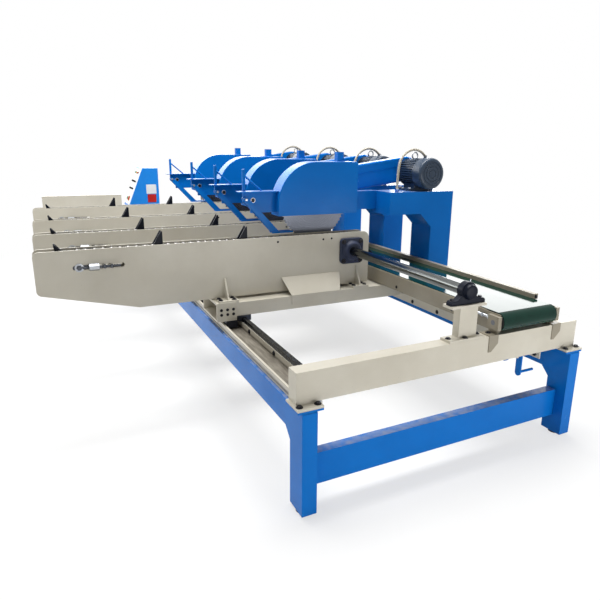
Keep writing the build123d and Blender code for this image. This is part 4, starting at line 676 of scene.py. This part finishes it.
SPINDLE, MOTOR = (622, 1085), (1362, 1253)    # axes, x and z
HOOD_FOOT = 1030
hood_side = np.concatenate([[(884, HOOD_FOOT)], arc(872, 1310, 12, 0, 90, 7),
                            arc(616, 1092, 230, 90, 180, 31), [(386, HOOD_FOOT)]])
bracket_side = np.concatenate([[(388, 1049), (389, 1094), (399, 1159)], arc(245, 1157, 3, 90, 180, 5),
                               arc(245, 1051, 3, 180, 270, 5)])
# The guard's long box runs from above the spindle to just above the motor's axis; the lid lies on top
GUARD_R, GUARD_NEAR, GUARD_FAR = 75, 235, 297
low = np.array([SPINDLE[0], SPINDLE[1] + 84])
high = np.array([MOTOR[0], MOTOR[1] + 20])
slope = atan2(high[1] - low[1], high[0] - low[0])
lid_rise, lid_r = 48 * np.array([-sin(slope), cos(slope)]), 29.5
for lane, y in LANES.items():
    nodes, body = [f"hood_{lane}"], f"unit_{lane}"
    near, far, middle = y + 104, y + 116, y + 110    # faces and middle of the bracket's plates
    cover = slab(hood_side, (y + 55, y + 165), 1, 3)
    cover[:, [0, -1], 2] = HOOD_FOOT
    skin(f"hood_shell_{lane}", [cover], blue_enamel, body, nodes, sheet=4)
    outer = box_outline(765, 807, middle - 21, middle + 21, 5)
    inner = box_outline(769, 803, middle - 17, middle + 17, 3)
    duct = np.concatenate([carried(outer, (1320, 1375), 2), carried(inner, (1375, 1330), 2)])
    collar = slab(box_outline(760, 812, middle - 26, middle + 26, 6), (1321, 1325), 2, 1)
    # The drop to the spindle stands a millimetre inside the long box, as a lapped joint does
    front, back = y + GUARD_NEAR, y + GUARD_FAR
    guard = [slab(hull((*low, GUARD_R), (*high, GUARD_R)), (front, back), 1, 14),
             slab(hull((*SPINDLE, GUARD_R), (*low, GUARD_R - 1)), (front + 1, back - 1), 1, 14),
             slab(hull((*(low + lid_rise), lid_r), (*(high + lid_rise), lid_r)), (front - 3, back + 3), 1, 9)]
    bracket = [slab(bracket_side, (near, far), 1, 1.5),
               slab(box_outline(172, 400, middle - 32, middle + 32, 3), (1160, 1166), 2, 1.5),
               slab(box_outline(199, 229, 1107, 1161, 4), (near, far), 1, 1.5),
               slab(box_outline(199, 215, 1159, 1282, 4), (near + 0.5, far - 0.5), 1, 1.5),
               slab(box_outline(228, 243, 1122, 1161, 1), (near + 0.5, far - 0.5), 1, 0.8),
               turned([(5, 0), (5, 141)], (314, middle, 1160), (-107, 0, 92), 12)]
    painted = []
    for share in (0.12, 0.5, 0.88):
        x, z = low + (high - low) * share - (0, 29)
        painted += bolt((x, front, z), (0, -1, 0), 6, 5)
    skin(f"hood_fittings_{lane}", [duct, collar] + guard + bracket + painted,
         blue_enamel, body, nodes)
    ring = turned([(14, 0), (14, 1.2), (13, 1.8), (10, 1.8)], (256, near, 1117), (0, -1, 0), 24)
    skin(f"bracket_washer_{lane}", [ring], zinc_steel, body, nodes)
    knob = turned([(10.5, 0.5), (10.5, 2.4), (9, 3.4), (4, 3.4)], (256, near, 1117), (0, -1, 0), 20)
    skin(f"bracket_bolt_{lane}", [knob], black_steel, body, nodes)
    dress(f"hold_down_{lane}", blue_enamel, 1)
    pivot = [turned([(7.5, 0), (7.5, 4), (6, 6), (2, 6.5)], (214, y + face, 1122), (0, way, 0), 16)
             for face, way in ((92, -1), (128, 1))]
    skin(f"pivot_nuts_{lane}", pivot, zinc_steel, f"hold_down_{lane}")

# Blades: toothed steel discs between two collars on the arbor, ground in rings.
# Bare steel: grey, with a soft fan of light across the ground rings.
blade_steel, tree, shader, spot = start_material("ring ground blade steel")
to_spindle = ((CORNER[0] - SPINDLE[0]) / 1000, 0, -SPINDLE[1] / 1000)
away = add(tree, "Mapping", {"Location": to_spindle}, {"Vector": spot})
flat = add(tree, "VectorMath", {"operation": "MULTIPLY", 1: (1, 0, 1)}, {0: away.outputs[0]})
far = add(tree, "VectorMath", {"operation": "LENGTH"}, {0: flat.outputs[0]})
# Grinding rings are 0.1 mm apart; drawn at 1.5 mm so that they show
rings = add(tree, "TexNoise", {"noise_dimensions": "1D", "Scale": 1 / 0.0015, "Detail": 2.0},
            {"W": far.outputs["Value"]})
tone = add(tree, "Mix", {"data_type": "RGBA", 6: linear("#5a5d65"), 7: linear("#50535b")},
           {0: rings.outputs[0]})
tree.links.new(tone.outputs[2], shader.inputs["Base Color"])
dull = add(tree, "MapRange", {1: 0.3, 2: 0.7, 3: 0.24, 4: 0.36}, {0: rings.outputs[0]})
tree.links.new(dull.outputs[0], shader.inputs["Roughness"])
shader.inputs["Metallic"].default_value = 1.0
shader.inputs["Anisotropic"].default_value = 0.85
shader.inputs["Anisotropic Rotation"].default_value = 0.25
round_arbor = add(tree, "Tangent", {"direction_type": "RADIAL", "axis": "Y"})
tree.links.new(round_arbor.outputs[0], shader.inputs["Tangent"])
for lane in LANES:
    dress(f"blade_{lane}", blade_steel)


# Saw motors: foot-mounted finned motors with the fan cowl to the front and a terminal box on top.
# Slate enamel; a beige corrugated conduit runs from the header over the motor into the box.
def torus(centre, r, wire):
    """A ring upright across Y: a small circle of the wire's radius carried round a large circle."""
    a = np.arange(28) * 2 * pi / 28
    b = np.linspace(0, 2 * pi, 9)[:, None]
    return np.stack([centre[0] + (r + wire * np.cos(b)) * np.cos(a), centre[1] + wire * np.sin(b) + 0 * a,
                     centre[2] + (r + wire * np.cos(b)) * np.sin(a)], axis=-1)


def route(points):
    """Points of a smooth spline with the given corners as its control points, in mm."""
    curve = bpy.data.curves.new("route", "CURVE")
    curve.dimensions = "3D"
    curve.resolution_u = 30
    line = curve.splines.new("NURBS")
    line.points.add(len(points) - 1)
    line.points.foreach_set("co", np.concatenate([points, np.ones((len(points), 1))], axis=1).ravel())
    line.order_u = 3
    line.use_endpoint_u = True
    holder = bpy.data.objects.new("route", curve)
    mesh = bpy.data.meshes.new_from_object(holder)
    places = np.empty(len(mesh.vertices) * 3, np.float32)
    mesh.vertices.foreach_get("co", places)
    bpy.data.objects.remove(holder)
    bpy.data.curves.remove(curve)
    bpy.data.meshes.remove(mesh)
    return places.reshape(-1, 3).astype(float)


def corrugated(points, r, step):
    """A hose: circles of a radius that rises and falls every step, carried along the points."""
    along = np.concatenate([[0], np.cumsum(np.linalg.norm(np.diff(points, axis=0), axis=1))])
    count = int(along[-1] / step) * 4 + 1
    s = np.linspace(0, along[-1], count)
    line = np.stack([np.interp(s, along, points[:, k]) for k in range(3)], axis=-1)
    ahead = np.gradient(line, axis=0)
    ahead /= np.linalg.norm(ahead, axis=1, keepdims=True)
    level = np.cross(points[-1] - points[0], UP)
    level /= np.linalg.norm(level)
    other = np.cross(ahead, level)
    angle = np.arange(10) * 2 * pi / 10
    size = r * (1 - 0.07 * (np.arange(count) % 4 // 2))    # two rings high, two rings low
    ring = np.cos(angle)[None, :, None] * level + np.sin(angle)[None, :, None] * other[:, None]
    return line[:, None] + size[:, None, None] * ring


# Conduit: soft PVC, beige, matt, with ribs 4 mm apart that are drawn at 6 mm so that they show
conduit_pvc = enamel("beige PVC conduit", "#b9b3a5", "#a8a193", "#857d6e", 0.5, 0.0, 0.0, 0.1)
# The conduit's control points: mm along its level way from the gland, and height
corners = np.array([(0, 1168), (0, 1302.9), (43.8, 1368.4), (116.7, 1398.6), (194, 1383.2), (227.3, 1350)])
way = np.array([225, 32]) / hypot(225, 32)
COWL_R, FIN_R, BACK, FOOT_TOP, BOX_TOP = 94, 84, 219, 1159, 1343
cowl = [(COWL_R * share, along) for share, along in FAN_COWL]
end_shield = [(FIN_R, 0), (FIN_R, 4), (80, 9), (60, 12), (30, 14)]
pulley = [(14, 0), (14, 14), (50, 14), (50, 22), (44, 27), (50, 32), (50, 49), (14, 49)]
box_gland = [(13, -14), (13, -5), (11, -4), (11, 8), (9, 11), (8.3, 11)]
for lane, y in LANES.items():
    nodes, body = [f"motor_{lane}"], f"unit_{lane}"
    frame_parts = [slab(finned(*MOTOR, FIN_R - 8, FIN_R, 36), (y + 62, y + BACK), 1, 1),
                   turned(cowl, (MOTOR[0], y + 64, MOTOR[1]), (0, -1, 0), 48),
                   turned(end_shield, (MOTOR[0], y + BACK, MOTOR[1]), (0, 1, 0), 40),
                   slab(box_outline(1267, 1457, y + 81.5, y + 201.5, 8), (HEADER_TOP, FOOT_TOP), 2, 3),
                   slab([(1307, 1150), (1417, 1150), (1408, 1225), (1316, 1225)], (y + 86, y + 198), 1, 3),
                   slab(box_outline(1346, 1430, y + 71.5, y + 145.5, 8), (1262, 1334), 2, 2),
                   slab(box_outline(1344, 1432, y + 69.5, y + 147.5, 9), (1334, BOX_TOP), 2, 2)]
    skin(f"motor_frame_{lane}", frame_parts, slate_enamel, body, nodes)
    points = np.concatenate([corners[:, :1] * way + (GLAND_X, y + GLAND_Y), corners[:, 1:]], axis=1)
    bits = [turned(box_gland, points[-1], points[-2] - points[-1], 6),
            torus((MOTOR[0], y + 165, 1357), 20, 5),
            turned([(13, 0), (13, 4), (8, 6)], (MOTOR[0], y + 165, 1334), UP, 16),
            turned(pulley, (MOTOR[0], y + BACK + 14, MOTOR[1]), (0, 1, 0), 32)]
    for x in (1281, 1443):
        for back in (96, 187):
            bits += bolt((x, y + back, FOOT_TOP), UP, 9, 8)
    for x in (1352, 1424):
        for back in (77, 140):
            bits.append(turned([(4, 0), (4, 1.5), (3, 2.5)], (x, y + back, BOX_TOP), UP, 10))
    skin(f"motor_fittings_{lane}", bits, zinc_steel, body, nodes)
    skin(f"motor_conduit_{lane}", [corrugated(route(points), 8, 6)], conduit_pvc, body, nodes)


# Stage: a pale floor that fades into white, soft lamps and windows round the machine, and the camera.
# The room is white to the eye and to reflections, and about a quarter as bright as a light on matt faces.
rings, steps, floor_r = 24, 64, 40
ring = ((np.arange(1, rings + 1) / rings) ** 2 * floor_r)[:, None]
angle = np.arange(steps) * 2 * pi / steps
grid = np.stack([ring * np.cos(angle), ring * np.sin(angle), np.zeros((rings, steps))], axis=-1)
index = np.arange(rings * steps).reshape(rings, steps)
after = np.roll(index, -1, axis=1)
quads = np.stack([index[:-1], index[1:], after[1:], after[:-1]], axis=-1).reshape(-1, 4)
mesh = bpy.data.meshes.new("floor")
mesh.from_pydata(grid.reshape(-1, 3), [], quads.tolist() + [index[0].tolist()])
floor = bpy.data.objects.new("floor", mesh)
bpy.context.scene.collection.objects.link(floor)
# Painted floor: matt and nearly white, brighter to the eye with distance so that it ends in white
floor_paint, tree, shader, spot = start_material("white painted floor")
shader.inputs["Roughness"].default_value = 0.9
grain = add(tree, "TexNoise", {"Scale": 1.2, "Detail": 3.0}, {"Vector": spot})
pale = add(tree, "Mix", {"data_type": "RGBA", 6: linear("#f2f2f1"), 7: linear("#ececea")},
           {0: grain.outputs[0]})
tree.links.new(pale.outputs[2], shader.inputs["Base Color"])
# Distance from the base's own rectangle, 0.8 by 2.1 m to each side of the middle
beside = add(tree, "VectorMath", {"operation": "ABSOLUTE"}, {0: spot})
beside = add(tree, "VectorMath", {"operation": "SUBTRACT", 1: (0.8, 2.1, 0)}, {0: beside.outputs[0]})
beside = add(tree, "VectorMath", {"operation": "MAXIMUM", 1: (0, 0, 0)}, {0: beside.outputs[0]})
far = add(tree, "VectorMath", {"operation": "LENGTH"}, {0: beside.outputs[0]})
fade = add(tree, "MapRange", {1: 0.0, 2: 2.0, 3: 0.62, 4: 1.0}, {0: far.outputs["Value"]})


def seen_directly(tree):
    """One for camera, mirror and glass rays, nought for light that spreads."""
    path = add(tree, "LightPath")
    seen = add(tree, "Math", {"operation": "MAXIMUM"},
               {0: path.outputs["Is Camera Ray"], 1: path.outputs["Is Glossy Ray"]})
    return add(tree, "Math", {"operation": "MAXIMUM"},
               {0: seen.outputs[0], 1: path.outputs["Is Transmission Ray"]})


share = add(tree, "Math", {"operation": "MULTIPLY"}, {0: fade.outputs[0], 1: seen_directly(tree).outputs[0]})
glow = add(tree, "Emission", {"Color": (1, 1, 1, 1), "Strength": 1.0})
blend = add(tree, "MixShader", links={0: share.outputs[0], 1: shader.outputs[0], 2: glow.outputs[0]})
tree.links.new(blend.outputs[0], tree.nodes["Material Output"].inputs["Surface"])
floor.data.materials.append(floor_paint)

world = bpy.data.worlds.new("white room")
bpy.context.scene.world = world
world.use_nodes = True
tree = world.node_tree
level = add(tree, "MapRange", {3: 0.28, 4: 1.0}, {0: seen_directly(tree).outputs[0]})
tree.links.new(level.outputs[0], tree.nodes["Background"].inputs["Strength"])
tree.nodes["Background"].inputs["Color"].default_value = (1, 1, 1, 1)

# Each lamp's place, aim and size in metres, and its watts
LAMPS = (("ceiling lamp", (0.3, -0.8, 5.0), (0.3, -0.4, 0.5), (3.5, 2.0), 250),
         ("back window", (-0.8, 9.0, 4.3), (0.2, -0.5, 0.9), (10.0, 5.0), 640),
         ("right window", (8.4, 6.3, 3.2), (0.8, -1.0, 0.7), (7.0, 2.8), 270),
         ("front lamp", (1.0, -4.2, 0.45), (0.4, -2.1, 0.35), (2.4, 0.7), 26),
         ("hood lamp", (0.2, -0.8, 2.7), (0.2, -0.8, 0.0), (3.0, 0.8), 20),
         ("left lamp", (-5.0, 3.5, 2.4), (0.0, 0.8, 0.8), (5.0, 2.4), 150))
for name, place, aim, size, watts in LAMPS:
    data = bpy.data.lights.new(name, "AREA")
    data.shape = "RECTANGLE"
    data.size, data.size_y = size
    data.energy = watts
    lamp = bpy.data.objects.new(name, data)
    lamp.location = place
    lamp.visible_camera = False
    lamp.rotation_euler = (Vector(aim) - Vector(place)).to_track_quat("-Z", "Y").to_euler()
    bpy.context.scene.collection.objects.link(lamp)

# The camera stands at head height left of the near end and looks along the machine
view = bpy.data.cameras.new("camera")
view.sensor_width = 36
view.lens = 32.51354
view.shift_x = -0.039793
view.shift_y = -0.012808
view.clip_end = 200
camera = bpy.data.objects.new("camera", view)
camera.matrix_world = Matrix(((0.8885634, 0.1067767, -0.4461545, -1.131581),
                              (-0.4584844, 0.2400273, -0.8556746, -3.796071),
                              (0.0157231, 0.9648760, 0.2622349, 1.411849),
                              (0, 0, 0, 1)))
bpy.context.scene.collection.objects.link(camera)
bpy.context.scene.camera = camera
bpy.context.scene.view_settings.view_transform = "Standard"
